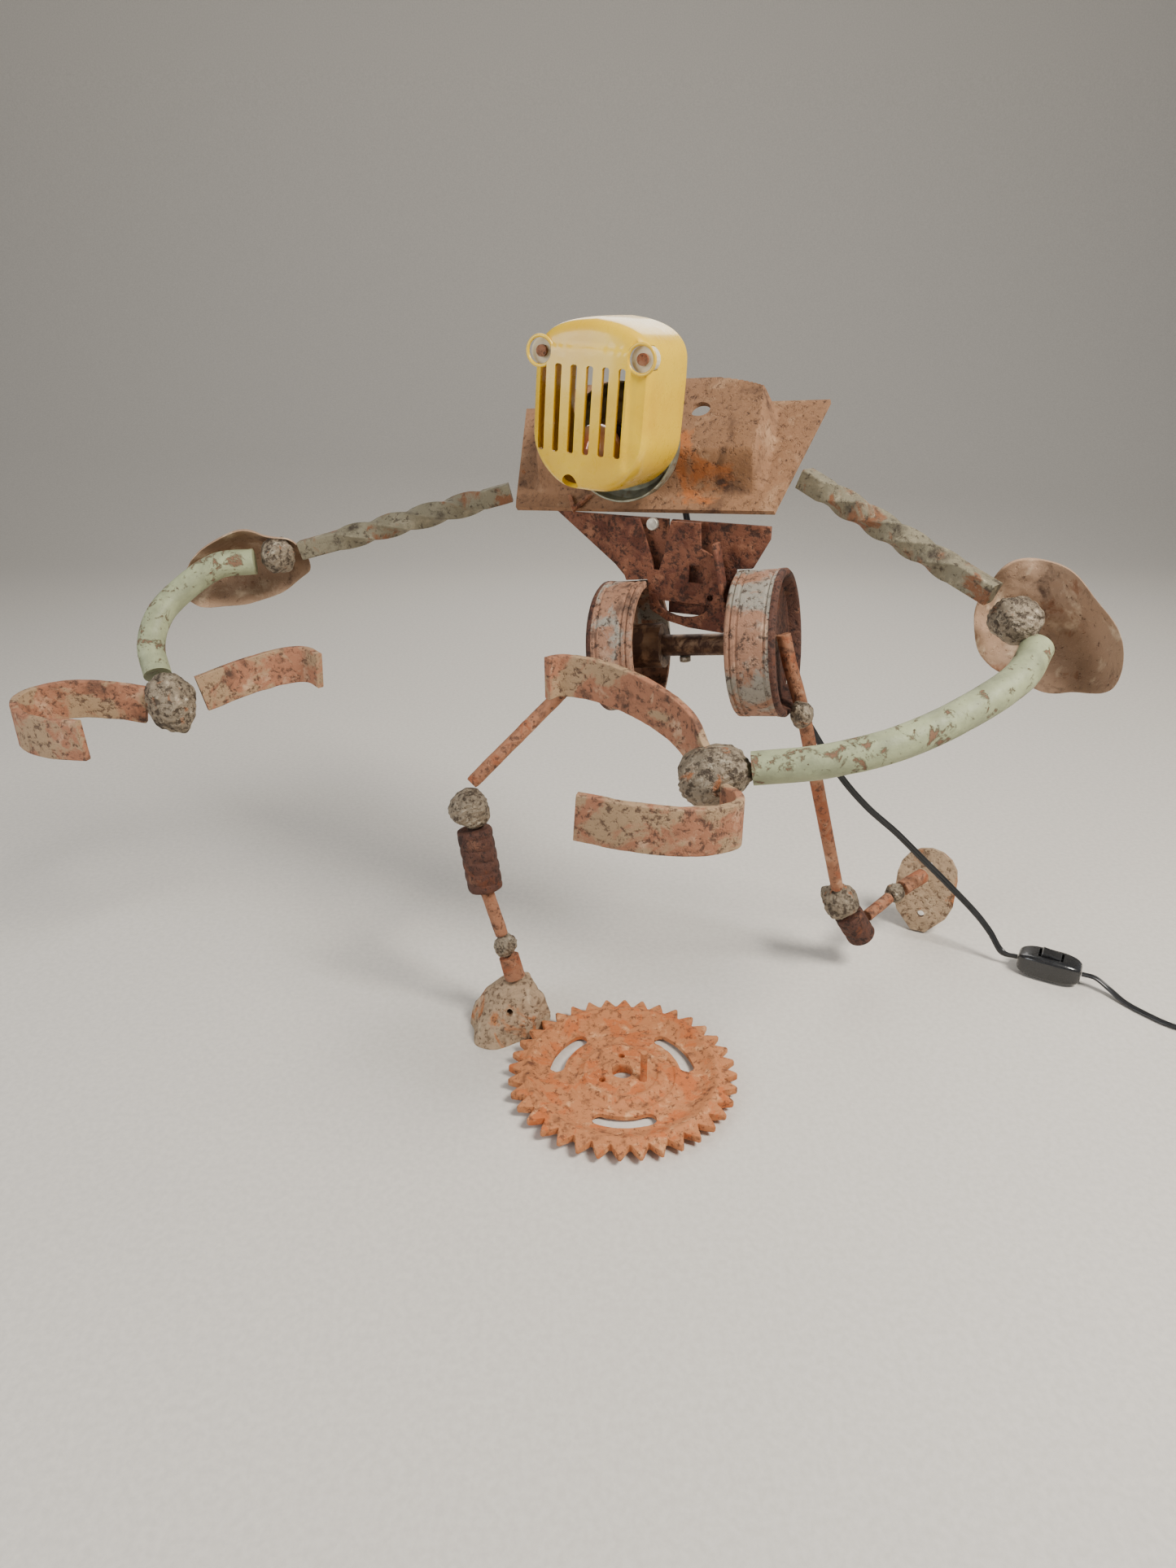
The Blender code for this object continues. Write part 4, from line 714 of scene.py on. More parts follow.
@dataclass
class Arm:
    """One arm: a twisted square bar, a forged shell, a painted tube and a strap claw.

    The shell stands at shell_at with its length along shell_x and its opening towards shell_z.
    Its rim bends by fold towards its opening, most at the angles in folds.
    """

    shop: Workshop
    side: str
    shoulder: Array
    elbow: Array
    forearm: Array
    hook: Array
    jaw: Array
    turns: float
    shell_at: Array
    shell_x: tuple[float, float, float]
    shell_z: tuple[float, float, float]
    shell_size: tuple[float, float, float]
    folds: tuple[float, ...]
    fold: float
    bar: float = 12.7 * MM
    tube: float = 18.0 * MM
    strap_height: float = 25.4 * MM
    strap: float = 4.8 * MM
    wall: float = 3.2 * MM

    def build(self) -> None:
        """Make every piece of the arm."""
        self.upper_arm()
        self.forearm_tube()
        self.shell()
        self.claw("claw_hook", self.hook)
        self.claw("claw_jaw", self.jaw)
        bars = Bars(self.shop)
        bars.weld(f"{self.side}_elbow_weld", 11 + len(self.side), 1.16)
        bars.weld(f"{self.side}_claw_weld", 17 + len(self.side), 1.08)

    def upper_arm(self) -> None:
        """A square bar whose section turns with the twist along its middle."""
        rows, cols = 150, 64
        share = np.linspace(0, 1, rows)
        twist = 2 * math.pi * self.turns * np.clip((share - 0.12) / 0.7, 0, 1)
        square = box_section(self.bar, self.bar, 1.4 * MM, cols)
        c, s = np.cos(twist)[:, None], np.sin(twist)[:, None]
        turned = np.stack([c * square[:, 0] - s * square[:, 1],
                           s * square[:, 0] + c * square[:, 1]], axis=-1)
        path = straight(self.shoulder, self.elbow, rows)
        grid = sweep(path, turned, (0, 0, 1))
        grid += unit(grid - path[:, None]) * crust(grid, 0.02, 3)[..., None] * 0.00012
        self.shop.fit(skin(f"{self.side}_twisted_bar", grid, sharp=50), Finish.BAR,
                      f"{self.side}_upper_arm")

    def forearm_tube(self) -> None:
        """A dented tube along the forearm's curve."""
        path = smooth_path(self.forearm, 90)
        grid = sweep(path, round_section(48) * self.tube / 2, (0.3, 0, 1))
        middle = path[:, None]
        dent = 1 - 0.018 * np.clip(crust(grid, 0.03, 5) - 0.1, 0, 1)
        self.shop.fit(skin(f"{self.side}_painted_tube", middle + (grid - middle) * dent[..., None]),
                      Finish.SAGE, f"{self.side}_forearm_tube")

    def shell(self) -> None:
        """A forged bowl: depth falls with the 2.6th power of the level, and the rim waves.

        The grid goes out over the outer wall, round the lip and back over the inner wall.
        """
        x_axis = Vector(self.shell_x).normalized()
        y_axis = Vector(self.shell_z).cross(x_axis).normalized()
        turn = Matrix((x_axis, y_axis, x_axis.cross(y_axis))).transposed().to_4x4()
        placement = Matrix.Translation(Vector(self.shell_at)) @ turn
        length, width, depth = self.shell_size
        angle = np.linspace(0, 2 * math.pi, 96, endpoint=False)
        out = np.linspace(0.02, 1, 40)
        level = np.concatenate([out, [1.0, 0.995], out[::-1] * 0.985])[:, None]
        lift = np.concatenate([np.zeros(40), [0.35, 0.8], np.ones(40)])[:, None] * self.wall
        wave = (1 + 0.06 * np.sin(3 * angle + 0.6) + 0.02 * np.sin(7 * angle + 1.2))[None]
        flat = np.stack([length / 2 * level * wave * np.cos(angle),
                         width / 2 * level * wave * np.sin(angle),
                         -depth * (1 - level ** 2.6) + lift + 0 * angle - self.wall], axis=-1)
        curl = (level ** 5) * (7.0 * np.sin(2 * angle + 0.9) + 3.0 * np.sin(5 * angle)
                               + 1.6 * np.sin(9 * angle + 2)) * MM
        bend = sum(np.clip(np.cos(angle - math.radians(place)), 0, 1) for place in self.folds)
        flat[..., 2] += self.fold * level ** 2.5 * bend
        flat[..., 2] += (crust(flat * [1, 1, 0], 0.022, 9, 3) * 0.0009
                         + crust(flat * [1, 1, 0], 0.05, 12, 2) * 0.0016 + curl)
        piece = skin(f"{self.side}_forged_shell", placed(flat, placement), sharp=60)
        self.shop.fit(piece, Finish.SHELL, f"{self.side}_elbow_shell")

    def claw(self, part: str, knots: Array) -> None:
        """Flat strap bent on edge: a rounded rectangle carried along the smooth path."""
        path = smooth_path(knots, 80)
        section = box_section(self.strap, self.strap_height, 0.9 * MM, 56)
        grid = sweep(path, section, (0, 0, 1))
        grid += unit(grid - path[:, None]) * crust(grid, 0.015, 21)[..., None] * 0.00018
        self.shop.fit(skin(f"{self.side}_{part}_strap", grid, sharp=50), Finish.STRAP,
                      f"{self.side}_{part}")


@dataclass
class Legs:
    """Both legs, from the drums down to the boot and the rear foot plate."""

    shop: Workshop
    sleeve: float = 25.4 * MM
    rear_sleeve: float = 23.0 * MM

    def build(self) -> None:
        """Make the sleeves, welds and rods."""
        bars = Bars(self.shop)
        for number, name in enumerate(("front_shin_weld", "front_knee_weld", "front_hip_weld",
                                       "rear_hip_weld", "rear_knee_weld", "rear_shin_weld")):
            bars.weld(name, 31 + number)
        for name in ("front_thigh_rod", "front_shin_rod", "front_ankle_rod", "rear_shin_rod",
                     "rear_ankle_rod"):
            bars.rod(name)
        self.boot()
        self.rear_foot()
        low, top = at(-0.0430, 0.0195, 0.1060), at(-0.0535, 0.0290, 0.1700)
        self.wrapped("front_knee_sleeve", low, low + unit(top - low) * 0.045, self.sleeve)
        knee, end = at(0.2235, 0.0720, 0.0640), at(0.2470, 0.0785, 0.0270)
        start = knee + unit(end - knee) * (0.0145 + 0.3 * MM)
        self.wrapped("rear_knee_sleeve", start + unit(end - start) * 0.028, start, self.rear_sleeve)

    def wrapped(self, name: str, start: Array, end: Array, diameter: float) -> None:
        """A sleeve wound from strip: its radius ripples with height plus a share of the angle.

        Args:
            name: The CAD node that it stands for.
            start: Its lower end.
            end: Its upper end.
            diameter: Its largest diameter.
        """
        rows, cols = 110, 72
        share = np.linspace(0, 1, rows)[:, None]
        angle = np.linspace(0, 2 * math.pi, cols, endpoint=False)[None]
        length = float(np.linalg.norm(end - start))
        wind = np.abs(np.sin((share * length / 0.0085 + angle / (2 * math.pi)) * math.pi))
        ends = 1 - 0.07 * np.clip((np.abs(share - 0.5) - 0.42) / 0.08, 0, 1) ** 2
        radius = diameter / 2 * (0.935 + 0.06 * wind ** 0.6) * ends
        ring = round_section(cols)
        section = ring[None] * radius[..., None]
        grid = sweep(straight(start, end, rows), section, (0.2, 1, 0))
        middle = straight(start, end, rows)[:, None]
        grid = middle + (grid - middle) * (1 - 0.01 + 0.01 * crust(grid, 0.01, 6))[..., None]
        self.shop.fit(skin(f"{name}_winding", grid), Finish.SLEEVE, name)

    def boot(self) -> None:
        """A knobbly casting: superellipse rings that lean and narrow, with three lobes."""
        foot, lean = at(-0.0310, 0.0010, 0.0), np.array([0.0080, 0.0115, 0.0])
        low, high = (np.array(corner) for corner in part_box("boot_casting"))
        height = high[2] - low[2]
        angle = np.linspace(0, 2 * math.pi, 120, endpoint=False)[None]
        level = np.linspace(0, 1, 70)[:, None]
        narrow = np.interp(level[:, 0], [0, 0.35, 0.65, 0.88, 1],
                           [1.0, 0.97, 0.76, 0.50, 0.38])[:, None]
        square = (np.cos(angle) ** 4 + np.sin(angle) ** 4) ** -0.25
        lobes = 1 + 0.12 * np.cos(3 * angle + 0.8) * (1 - level) ** 0.7
        reach = np.minimum(1, square / 1.12) * narrow * lobes
        grid = np.stack([0.0295 * reach * np.cos(angle + 0.35), 0.0245 * reach
                         * np.sin(angle + 0.35), level * height + 0 * angle], axis=-1)
        grid += foot + lean * level[..., None]
        lumps = crust(grid, 0.016, 51, 4)[..., None] * 0.0011 * np.clip(level * 8, 0, 1)[..., None]
        grid += lumps * unit(grid - foot - np.array([0, 0, 0.01]))
        grid[..., 2] = np.maximum(grid[..., 2], 0.0)
        piece = skin("knobbly_boot", grid, sharp=70)
        room = drill("sprocket_room", Matrix.Translation(Vector(at(0.0523, -0.0560, -0.01))),
                     2 * Feet.reach() + 0.6 * MM, height + 0.03)
        eye = drill("boot_eye", along(foot + np.array([0.004, -0.05, 0.021]),
                                      foot + np.array([0.004, 0.06, 0.021])), 5 * MM, 0.11)
        punched(piece, [room, eye], 60)
        self.shop.fit(piece, Finish.CASTING, "boot_casting")

    def rear_foot(self) -> None:
        """A merged copy of the CAD plate with worn edges."""
        source = copy_of("rear_foot_plate", "leaf_foot", 40)
        edge = source.modifiers.new("worn_edges", 'BEVEL')
        edge.width, edge.segments = 1.2 * MM, 3
        edge.limit_method, edge.angle_limit = 'ANGLE', math.radians(50)
        self.shop.fit(source, Finish.CASTING, "rear_foot_plate")


@dataclass
class Feet:
    """The dished, rusty sprocket that the front foot stands on."""

    shop: Workshop
    teeth: int = 36
    tooth: float = 9.0 * MM
    turn: float = math.radians(2)
    slot_radius: float = 45.0 * MM
    slot_width: float = 10.0 * MM
    slot_half: float = math.radians(27)
    bolt_circle: float = 32.0 * MM
    bolt: float = 4.6 * MM

    @staticmethod
    def reach() -> float:
        """Radius over the tooth tips, half the CAD sprocket's width."""
        low, high = (np.array(corner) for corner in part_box("sprocket_foot"))
        return float(high[0] - low[0]) / 2

    def build(self) -> None:
        """A turned profile whose outer rows follow the teeth, each a triangle wave in angle."""
        low, high = (np.array(corner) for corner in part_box("sprocket_foot"))
        centre = (low + high) / 2 * [1, 1, 0]
        tip, top = self.reach(), float(high[2])
        root = tip - self.tooth
        # each row: radius and height in millimetres, and share of the tooth depth
        rows = np.array([
            (7.0, 0.4, 0), (7.0, 7.4, 0), (7.5, 8.0, 0), (13, 8.0, 0), (14.5, 7.2, 0), (23, 7.0, 0),
            (24.5, 8.1, 0), (26, 8.2, 0), (27.5, 7.0, 0), (31, 5.2, 0), (35, 5.0, 0), (36, 5.8, 0),
            (37.5, 5.8, 0), (39, 5.0, 0), (50, 5.0, 0), (54, 5.4, 0), (59, 8.2, 0),
            (62.5, 10.4, 0), (64.5, 11.0, 0), (66.5, 10.2, 0), (67.4, 9.5, 0), (68.4, 9.4, 0.02),
            (68.4, 9.3, 0.5), (68.4, 9.0, 0.93), (68.4, 8.0, 1.0), (68.4, 5.0, 1.0),
            (68.4, 4.1, 0.93), (68.4, 3.7, 0.5), (68.4, 3.6, 0.02), (66.9, 4.4, 0), (57, 2.1, 0),
            (40, 2.0, 0), (29, 2.0, 0), (28, 0.4, 0), (27, 0.05, 0), (8, 0.05, 0)])
        rows[:, 1] *= (top / MM) / 11.0
        count = 3
        fine = np.linspace(0, len(rows) - 1, (len(rows) - 1) * count + 1)
        radius, height, share = (np.interp(fine, np.arange(len(rows)), rows[:, k])[:, None]
                                 for k in range(3))
        radius = radius * (root / MM) / 68.4
        cols = self.teeth * 20
        angle = np.linspace(0, 2 * math.pi, cols, endpoint=False)[None]
        wave = 1 - np.abs(2 * (((angle - self.turn) * self.teeth / (2 * math.pi)) % 1) - 1)
        tooth = np.clip((wave - 0.10) / 0.80, 0, 1)
        reach = radius * MM + share * self.tooth * tooth
        grid = np.stack([reach * np.cos(angle), reach * np.sin(angle),
                         height * MM + 0 * angle], axis=-1)
        pits = crust(grid, 0.009, 61, 4) * 0.00022 * np.clip((height - 0.8) / 2, 0, 1)
        grid[..., 2] += pits
        ring = grid + centre
        piece = skin("rusty_sprocket", np.concatenate([ring, ring[:1]]), ends=Ends.OPEN, sharp=50)
        cutters = [self.kidney(centre, math.radians(middle)) for middle in (-90, 30, 150)]
        for middle in (90, 210, 330):
            arm = np.array([math.cos(math.radians(middle)), math.sin(math.radians(middle)), 0])
            start = centre + arm * self.bolt_circle / 2 - np.array([0, 0, 0.01])
            cutters.append(drill(f"bolt_{middle}", Matrix.Translation(Vector(start)), self.bolt,
                                 0.04))
        punched(piece, cutters, 45)
        self.shop.fit(piece, Finish.SPROCKET, "sprocket_foot")

    def kidney(self, centre: Array, middle: float) -> bpy.types.Object:
        """A cutter for one curved slot, with its ends rounded by a half circle.

        Args:
            centre: The sprocket's axis.
            middle: The angle of the slot's middle.

        Returns:
            The cutter.
        """
        turn = np.linspace(-1, 1, 40)
        angle = middle + turn * self.slot_half
        path = np.stack([self.slot_radius * np.cos(angle), self.slot_radius * np.sin(angle),
                         0 * angle + 0.005], axis=-1)
        gap = (1 - np.abs(turn)) * self.slot_half * self.slot_radius / (self.slot_width / 2)
        width = self.slot_width * np.sqrt(np.clip(1 - np.clip(1 - gap, 0, 1) ** 2, 0.01, 1))
        section = box_section(1.0, 0.04, 0.0, 24)[None] * np.stack(
            [width, np.ones(40)], axis=-1)[:, None]
        return skin(f"kidney_{math.degrees(middle):.0f}", sweep(path + centre, section, (0, 0, 1)))


@dataclass
class Hips:
    """Two brake drums on an axle tube."""

    shop: Workshop
    middle: Array = field(default_factory=lambda: at(0.1010, 0.0550, 0.2730))
    yaw: float = math.radians(-21)
    roll: float = math.radians(-7)
    span: float = 92.5 * MM
    right: float = 88.0 * MM
    left: float = 95.0 * MM
    width: float = 31.0 * MM
    wall: float = 4.0 * MM
    dish: float = 8.0 * MM
    web: float = 3.5 * MM

    def build(self) -> None:
        """Make both drums."""
        turn = Matrix.Rotation(self.yaw, 3, 'Z') @ Matrix.Rotation(self.roll, 3, 'Y')
        axis = np.array(turn @ Vector((1, 0, 0)))
        self.drum("right_drum", self.middle - axis * self.span / 2, -axis, self.right)
        self.drum("left_drum", self.middle + axis * self.span / 2, axis, self.left)

    def drum(self, name: str, centre: Array, outward: Array, diameter: float) -> None:
        """A turned drum with grooves round its rim and a rounded lip, and a dark dished face.

        Args:
            name: The CAD node that it stands for.
            centre: The middle of its rim.
            outward: The direction of its dished face.
            diameter: Its rim's diameter.
        """
        rim, face = diameter / 2, self.width / 2
        wall, dish = rim - self.wall, face - self.dish
        groove = 0.9 * MM
        profile = [(0.0001, dish), (wall - 7 * MM, dish), (wall - 3 * MM, dish + 0.8 * MM),
                   (wall, face - 0.4 * MM), (wall + 0.5 * MM, face), (rim - 1.2 * MM, face),
                   (rim, face - 1.2 * MM), (rim, face - 5.4 * MM), (rim - groove, face - 6 * MM),
                   (rim - groove, face - 7 * MM), (rim - 0.3 * MM, face - 7.6 * MM),
                   (rim - 0.3 * MM, -face + 8.6 * MM), (rim - groove, -face + 8 * MM),
                   (rim - groove, -face + 7 * MM), (rim, -face + 6.4 * MM),
                   (rim, -face + 4.4 * MM), (rim - groove, -face + 4 * MM),
                   (rim - groove, -face + 3.2 * MM), (rim, -face + 2.8 * MM),
                   (rim, -face + 1 * MM), (rim - 1 * MM, -face), (wall, -face),
                   (wall, dish - self.web), (0.0001, dish - self.web)]
        grid = revolve(densified(profile, 1.5 * MM), along(centre, centre + outward), 128)
        grid += crust(grid, 0.03, 14, 3)[..., None] * unit(grid - centre) * 0.00015
        self.shop.fit(skin(f"{name}_casting", grid, sharp=45), Finish.DRUM, name)
        film = 0.25 * MM
        dark = [(6 * MM, dish + film), (wall - 7 * MM, dish + film),
                (wall - 3 * MM, dish + 4 * film), (wall - film, face - 0.4 * MM),
                (wall + 0.5 * MM, face + film), (rim - 1.2 * MM, face + film),
                (rim + film, face - 1.2 * MM), (rim + film, face - 3.4 * MM)]
        grid = revolve(densified(dark, 1.5 * MM), along(centre, centre + outward), 96)
        face_piece = skin(f"{name}_dark_face", grid, ends=Ends.OPEN, sharp=45)
        self.shop.fit(face_piece, Finish.SLEEVE)


@dataclass
class Smoothed:
    """Folded sheet and small turned pieces: merged copies of the CAD ones with eased edges."""

    shop: Workshop
    edge: float = 0.5 * MM

    def build(self) -> None:
        """Copy each one and ease its edges."""
        pieces = {Finish.CHEST: ("chest_bracket", "chest_flange", "right_chest_plate",
                                 "left_chest_plate"),
                  Finish.AXLE: ("hip_axle_tube",), Finish.ROD: ("rear_thigh_rod", "chin_lug"),
                  Finish.ZINC: ("chest_bolt", "axle_set_screw", "neck_pipe")}
        for finish, nodes in pieces.items():
            for node in nodes:
                item = copy_of(node, f"{node}_eased", 35)
                bevel = item.modifiers.new("eased_edges", 'BEVEL')
                bevel.width, bevel.segments = self.edge, 2
                bevel.limit_method, bevel.angle_limit = 'ANGLE', math.radians(40)
                self.shop.fit(item, finish, node)


@dataclass
class Torso:
    """The shoulder plate with its pressed dome."""

    shop: Workshop
    foot: Array = field(default_factory=lambda: at(0.0609, 0.0760, 0.3588))
    yaw: float = math.radians(-25.4)
    roll: float = math.radians(-2.9)
    lean: float = math.radians(51)
    bottom: float = 182.0 * MM
    flare_right: float = 27.0 * MM
    flare_left: float = 15.0 * MM
    slope: float = 95.0 * MM
    thickness: float = 4.0 * MM
    dome_width: float = 164.0 * MM
    dome_rise: float = 21.0 * MM
    hole: float = 13.0 * MM
    hole_at: tuple[float, float, float] = (0.030, 0.066, -0.02)

    def frame(self) -> Matrix:
        """The plate's lower edge: +X along it, +Y up its slope, +Z out of its face."""
        turn = Matrix.Rotation(self.yaw, 4, 'Z') @ Matrix.Rotation(self.roll, 4, 'Y')
        slope = Matrix.Rotation(math.pi / 2 - self.lean, 4, 'X')
        return Matrix.Translation(Vector(self.foot)) @ turn @ slope

    def dome(self, across: Array, up: Array) -> Array:
        """Height of the D shaped dome: a smooth step up from its edge.

        Args:
            across: Distance from the plate's middle.
            up: Distance up its slope.

        Returns:
            Heights above the flat plate.
        """
        low = 0.12 * self.slope
        x = np.abs(across) / (self.dome_width / 2)
        y = (up - low) / (self.slope - low)
        side = (1.0 - x ** 3.5 - np.maximum(0, y - 0.35) ** 3 * 0.9 * x * x
                - np.maximum(0, y - 0.9) * 6.0)
        rise = np.clip(side * 4.2, 0, 1) * np.clip(y * 4.0, 0, 1)
        return self.dome_rise * rise * rise * (3 - 2 * rise)

    def build(self, neck: Matrix, pipe: float) -> None:
        """Make the plate from its face and its underside, with its hole and the neck's.

        Args:
            neck: The neck pipe's placement.
            pipe: The neck pipe's diameter.
        """
        cols, rows = 170, 90
        share = np.linspace(-1, 1, cols)
        v = np.linspace(0, 1, rows)[:, None]
        half = np.where(share < 0, self.bottom / 2 + v * self.flare_right,
                        self.bottom / 2 + v * self.flare_left)
        x = half * share
        y = v * self.slope + 0 * x
        lip = -0.6 * MM * np.clip(1 - v * 14, 0, 1)
        face = np.stack([x, y, self.dome(x + v * 6 * MM, y) + lip], axis=-1)
        along_x, along_y = np.gradient(face, axis=1), np.gradient(face, axis=0)
        normal = unit(np.cross(along_x, along_y))
        rough = crust(face, 0.012, 41, 3) * 0.00018 + crust(face, 0.05, 42, 2) * 0.0005
        rough *= np.clip(np.minimum(v, 1 - v) * 12, 0, 1) * np.clip((1 - np.abs(share)) * 12, 0, 1)
        top = face + normal * (rough - 0.3 * MM)[..., None]
        under = face - normal * (self.thickness - 0.2 * MM)
        plate = self.closed(top, under)
        cutters = [drill("dome_hole", self.frame() @ Matrix.Translation(self.hole_at), self.hole,
                         0.06),
                   drill("neck_room", neck, pipe + 0.6 * MM, 0.09)]
        punched(plate, cutters, 50)
        self.shop.fit(plate, Finish.PLATE, "shoulder_plate")

    def closed(self, top: Array, under: Array) -> bpy.types.Object:
        """One closed mesh from a face, an underside and the strip between their borders.

        Args:
            top: The outer face's grid.
            under: The underside's grid.

        Returns:
            The plate, in its place.
        """
        rows, cols = top.shape[:2]
        index = np.arange(rows * cols).reshape(rows, cols)
        quads = np.stack([index[:-1, :-1], index[:-1, 1:], index[1:, 1:], index[1:, :-1]], -1)
        quads = quads.reshape(-1, 4)
        rim = np.concatenate([index[0, :-1], index[:-1, -1], index[-1, :0:-1], index[:0:-1, 0]])
        far = np.roll(rim, -1)
        count = rows * cols
        strip = np.stack([rim, rim + count, far + count, far], -1)
        verts = placed(np.concatenate([top.reshape(-1, 3), under.reshape(-1, 3)]), self.frame())
        data = bpy.data.meshes.new("pressed_plate")
        data.from_pydata(verts.tolist(), [], np.concatenate([quads, quads[:, ::-1] + count,
                                                            strip]).tolist())
        outwards(data)
        item = bpy.data.objects.new("pressed_plate", data)
        bpy.context.scene.collection.objects.link(item)
        return item


@dataclass
class LampHead:
    """The slotted cover with its pocket rims, and the cup and bulb behind it; the clips and holder
    are not made here.
    """

    shop: Workshop
    middle: Array = field(default_factory=lambda: at(0.0400, 0.0340, 0.4240))
    yaw: float = math.radians(-24)
    roll: float = math.radians(4)
    width: float = 74.0 * MM
    height: float = 96.0 * MM
    depth: float = 60.0 * MM
    wall: float = 2.5 * MM
    slots: int = 6
    slot: float = 4.2 * MM
    pitch: float = 9.6 * MM
    offset: float = -4.0 * MM
    slot_height: float = 47.0 * MM
    pocket: float = 15.0 * MM
    gap: float = 0.3 * MM
    pipe: float = 9.6 * MM
    cup_radius: float = 36.0 * MM
    cup_depth: float = 17.0 * MM
    cup_wall: float = 1.6 * MM
    nut: float = 6.0 * MM
    holder: float = 24.0 * MM
    bulb_radius: float = 14.0 * MM

    def frame(self) -> Matrix:
        """+X to the head's left, +Y backwards, +Z up."""
        turn = Matrix.Rotation(self.yaw, 4, 'Z') @ Matrix.Rotation(self.roll, 4, 'Y')
        return Matrix.Translation(Vector(self.middle)) @ turn

    def behind(self, deep: float = 0.0) -> Matrix:
        """The placement of what stands behind the cover, with +Z backwards."""
        start = Matrix.Translation((-2 * MM, self.depth / 2 + self.gap + deep, -24 * MM))
        return self.frame() @ start @ Matrix.Rotation(-math.pi / 2, 4, 'X')

    def nut_front(self) -> float:
        """How far behind the cup's lip the front of the neck's nut is."""
        return self.cup_depth - self.cup_wall - self.gap - self.nut

    def neck(self) -> Matrix:
        """The neck pipe's placement."""
        return self.behind(self.nut_front())

    def section(self, angle: Array, scale: Array, inset: float) -> tuple[Array, Array]:
        """The cover's outline at each angle: a rounded oblong with a narrow chin and low ridge.

        Args:
            angle: Where on the outline.
            scale: The share of the full outline.
            inset: How far inside it to stay.

        Returns:
            X and Z of each point.
        """
        c, s = np.cos(angle), np.sin(angle)
        half_x, half_z = self.width / 2 - inset, self.height / 2 - inset
        x = np.sign(c) * np.abs(c) ** 0.44 * half_x
        z = np.sign(s) * np.abs(s) ** 0.44 * half_z
        x = x * (1 - 0.38 * (np.maximum(0, -z / half_z - 0.35) / 0.65) ** 2)
        high = np.maximum(0, z / half_z - 0.6) / 0.4
        z = z - high * 7 * MM * np.abs(x / half_x) ** 1.5
        return x * scale, z * scale

    def cover(self) -> bpy.types.Object:
        """The cover's wall: out over its front and sides, and back along the inside."""
        half = self.depth / 2
        knots = np.array([(0.004, -half), (0.35, -half + 0.2 * MM), (0.66, -half + 0.7 * MM),
                          (0.84, -half + 1.8 * MM), (0.925, -half + 5 * MM),
                          (0.96, -half + 11 * MM), (0.985, 0.0), (1.0, half)])
        fine = smooth_path(np.column_stack([knots[:, 0] * 0.04, knots[:, 1], 0 * knots[:, 0]]), 60)
        scale, deep = fine[:, 0] / 0.04, fine[:, 1]
        scale = np.clip(scale, 0.003, 1.0)
        angle = np.linspace(0, 2 * math.pi, 160, endpoint=False)
        rows = []
        x, z = self.section(angle[None], scale[:, None], 0.0)
        step = np.clip((x - 24 * MM) / (1.0 * MM), 0, 1) * 1.3 * MM
        step *= (np.clip((z + half * 1.4) / (3 * MM), 0, 1)
                 * np.clip((0.9 - scale[:, None]) * 20, 0, 1))
        brow = np.clip((z - 30 * MM) / (1.0 * MM), 0, 1) * 0.9 * MM
        brow *= np.clip((0.93 - scale[:, None]) * 20, 0, 1)
        rows.append(np.stack([x, deep[:, None] + step + brow, z], axis=-1))
        inner_scale, inner_deep = scale[::-1], np.maximum(deep[::-1], -half + 0.001)
        x, z = self.section(angle[None], inner_scale[:, None], self.wall)
        shift = self.wall * np.clip((0.99 - inner_scale) / 0.1, 0, 1)
        rows.append(np.stack([x, (inner_deep + shift)[:, None] + 0 * x, z], axis=-1))
        return skin("slotted_cover", placed(np.concatenate(rows), self.frame()), sharp=50)

    def build(self) -> None:
        """Make the cover with its slots, pockets and rims, and the turned pieces behind it."""
        cover = self.cover()
        half = self.depth / 2
        place = self.frame()
        reach = 13 * MM
        cutters = []
        for number in range(self.slots):
            x = (number - (self.slots - 1) / 2) * self.pitch + self.offset
            ends = straight((x, -half - reach, -2 * MM), (x, -half + reach, -2 * MM), 2)
            section = box_section(self.slot, self.slot_height, 1.6 * MM, 40)
            grid = sweep(ends, section, (0, 0, 1))
            cutters.append(skin(f"slot_{number}", placed(grid, place)))
        for side, x in (("right", -31 * MM), ("left", 30 * MM)):
            start = place @ Matrix.Translation((x, -half - 2 * MM, self.height / 2 - 21 * MM)) \
                @ Matrix.Rotation(-math.pi / 2, 4, 'X')
            cutters.append(drill(f"{side}_pocket", start, self.pocket, 16 * MM))
            self.pocket_rim(f"{side}_pocket_rim", start)
        chin = place @ Matrix.Translation((-9 * MM, -half + 4 * MM, -self.height / 2 + 6 * MM)) \
            @ Matrix.Rotation(math.radians(-35), 4, 'X') @ Matrix.Translation((0, 0, -15 * MM))
        cutters.append(drill("chin_hole", chin, 10 * MM, 30 * MM))
        punched(cover, cutters, 40)
        edge = cover.modifiers.new("softened_edges", 'BEVEL')
        edge.width = 0.5 * MM
        edge.segments = 2
        edge.limit_method = 'ANGLE'
        edge.angle_limit = math.radians(50)
        self.shop.fit(cover, Finish.YELLOW, "head_cover", body="lamp_head")
        self.bulb()
        self.cup()

    def pocket_rim(self, name: str, start: Matrix) -> None:
        """A raised ring round a corner pocket, as a small round bead turned about its axis.

        Args:
            name: The ring's name.
            start: The pocket's placement, with +Z into the head.
        """
        bead = round_section(16) * 1.0 * MM + np.array([self.pocket / 2 + 0.3 * MM, 4.4 * MM])
        ring = revolve(np.concatenate([bead, bead[:1]]), start, 64)
        self.shop.fit(skin(name, ring, ends=Ends.OPEN, sharp=70), Finish.YELLOW, body="lamp_head")

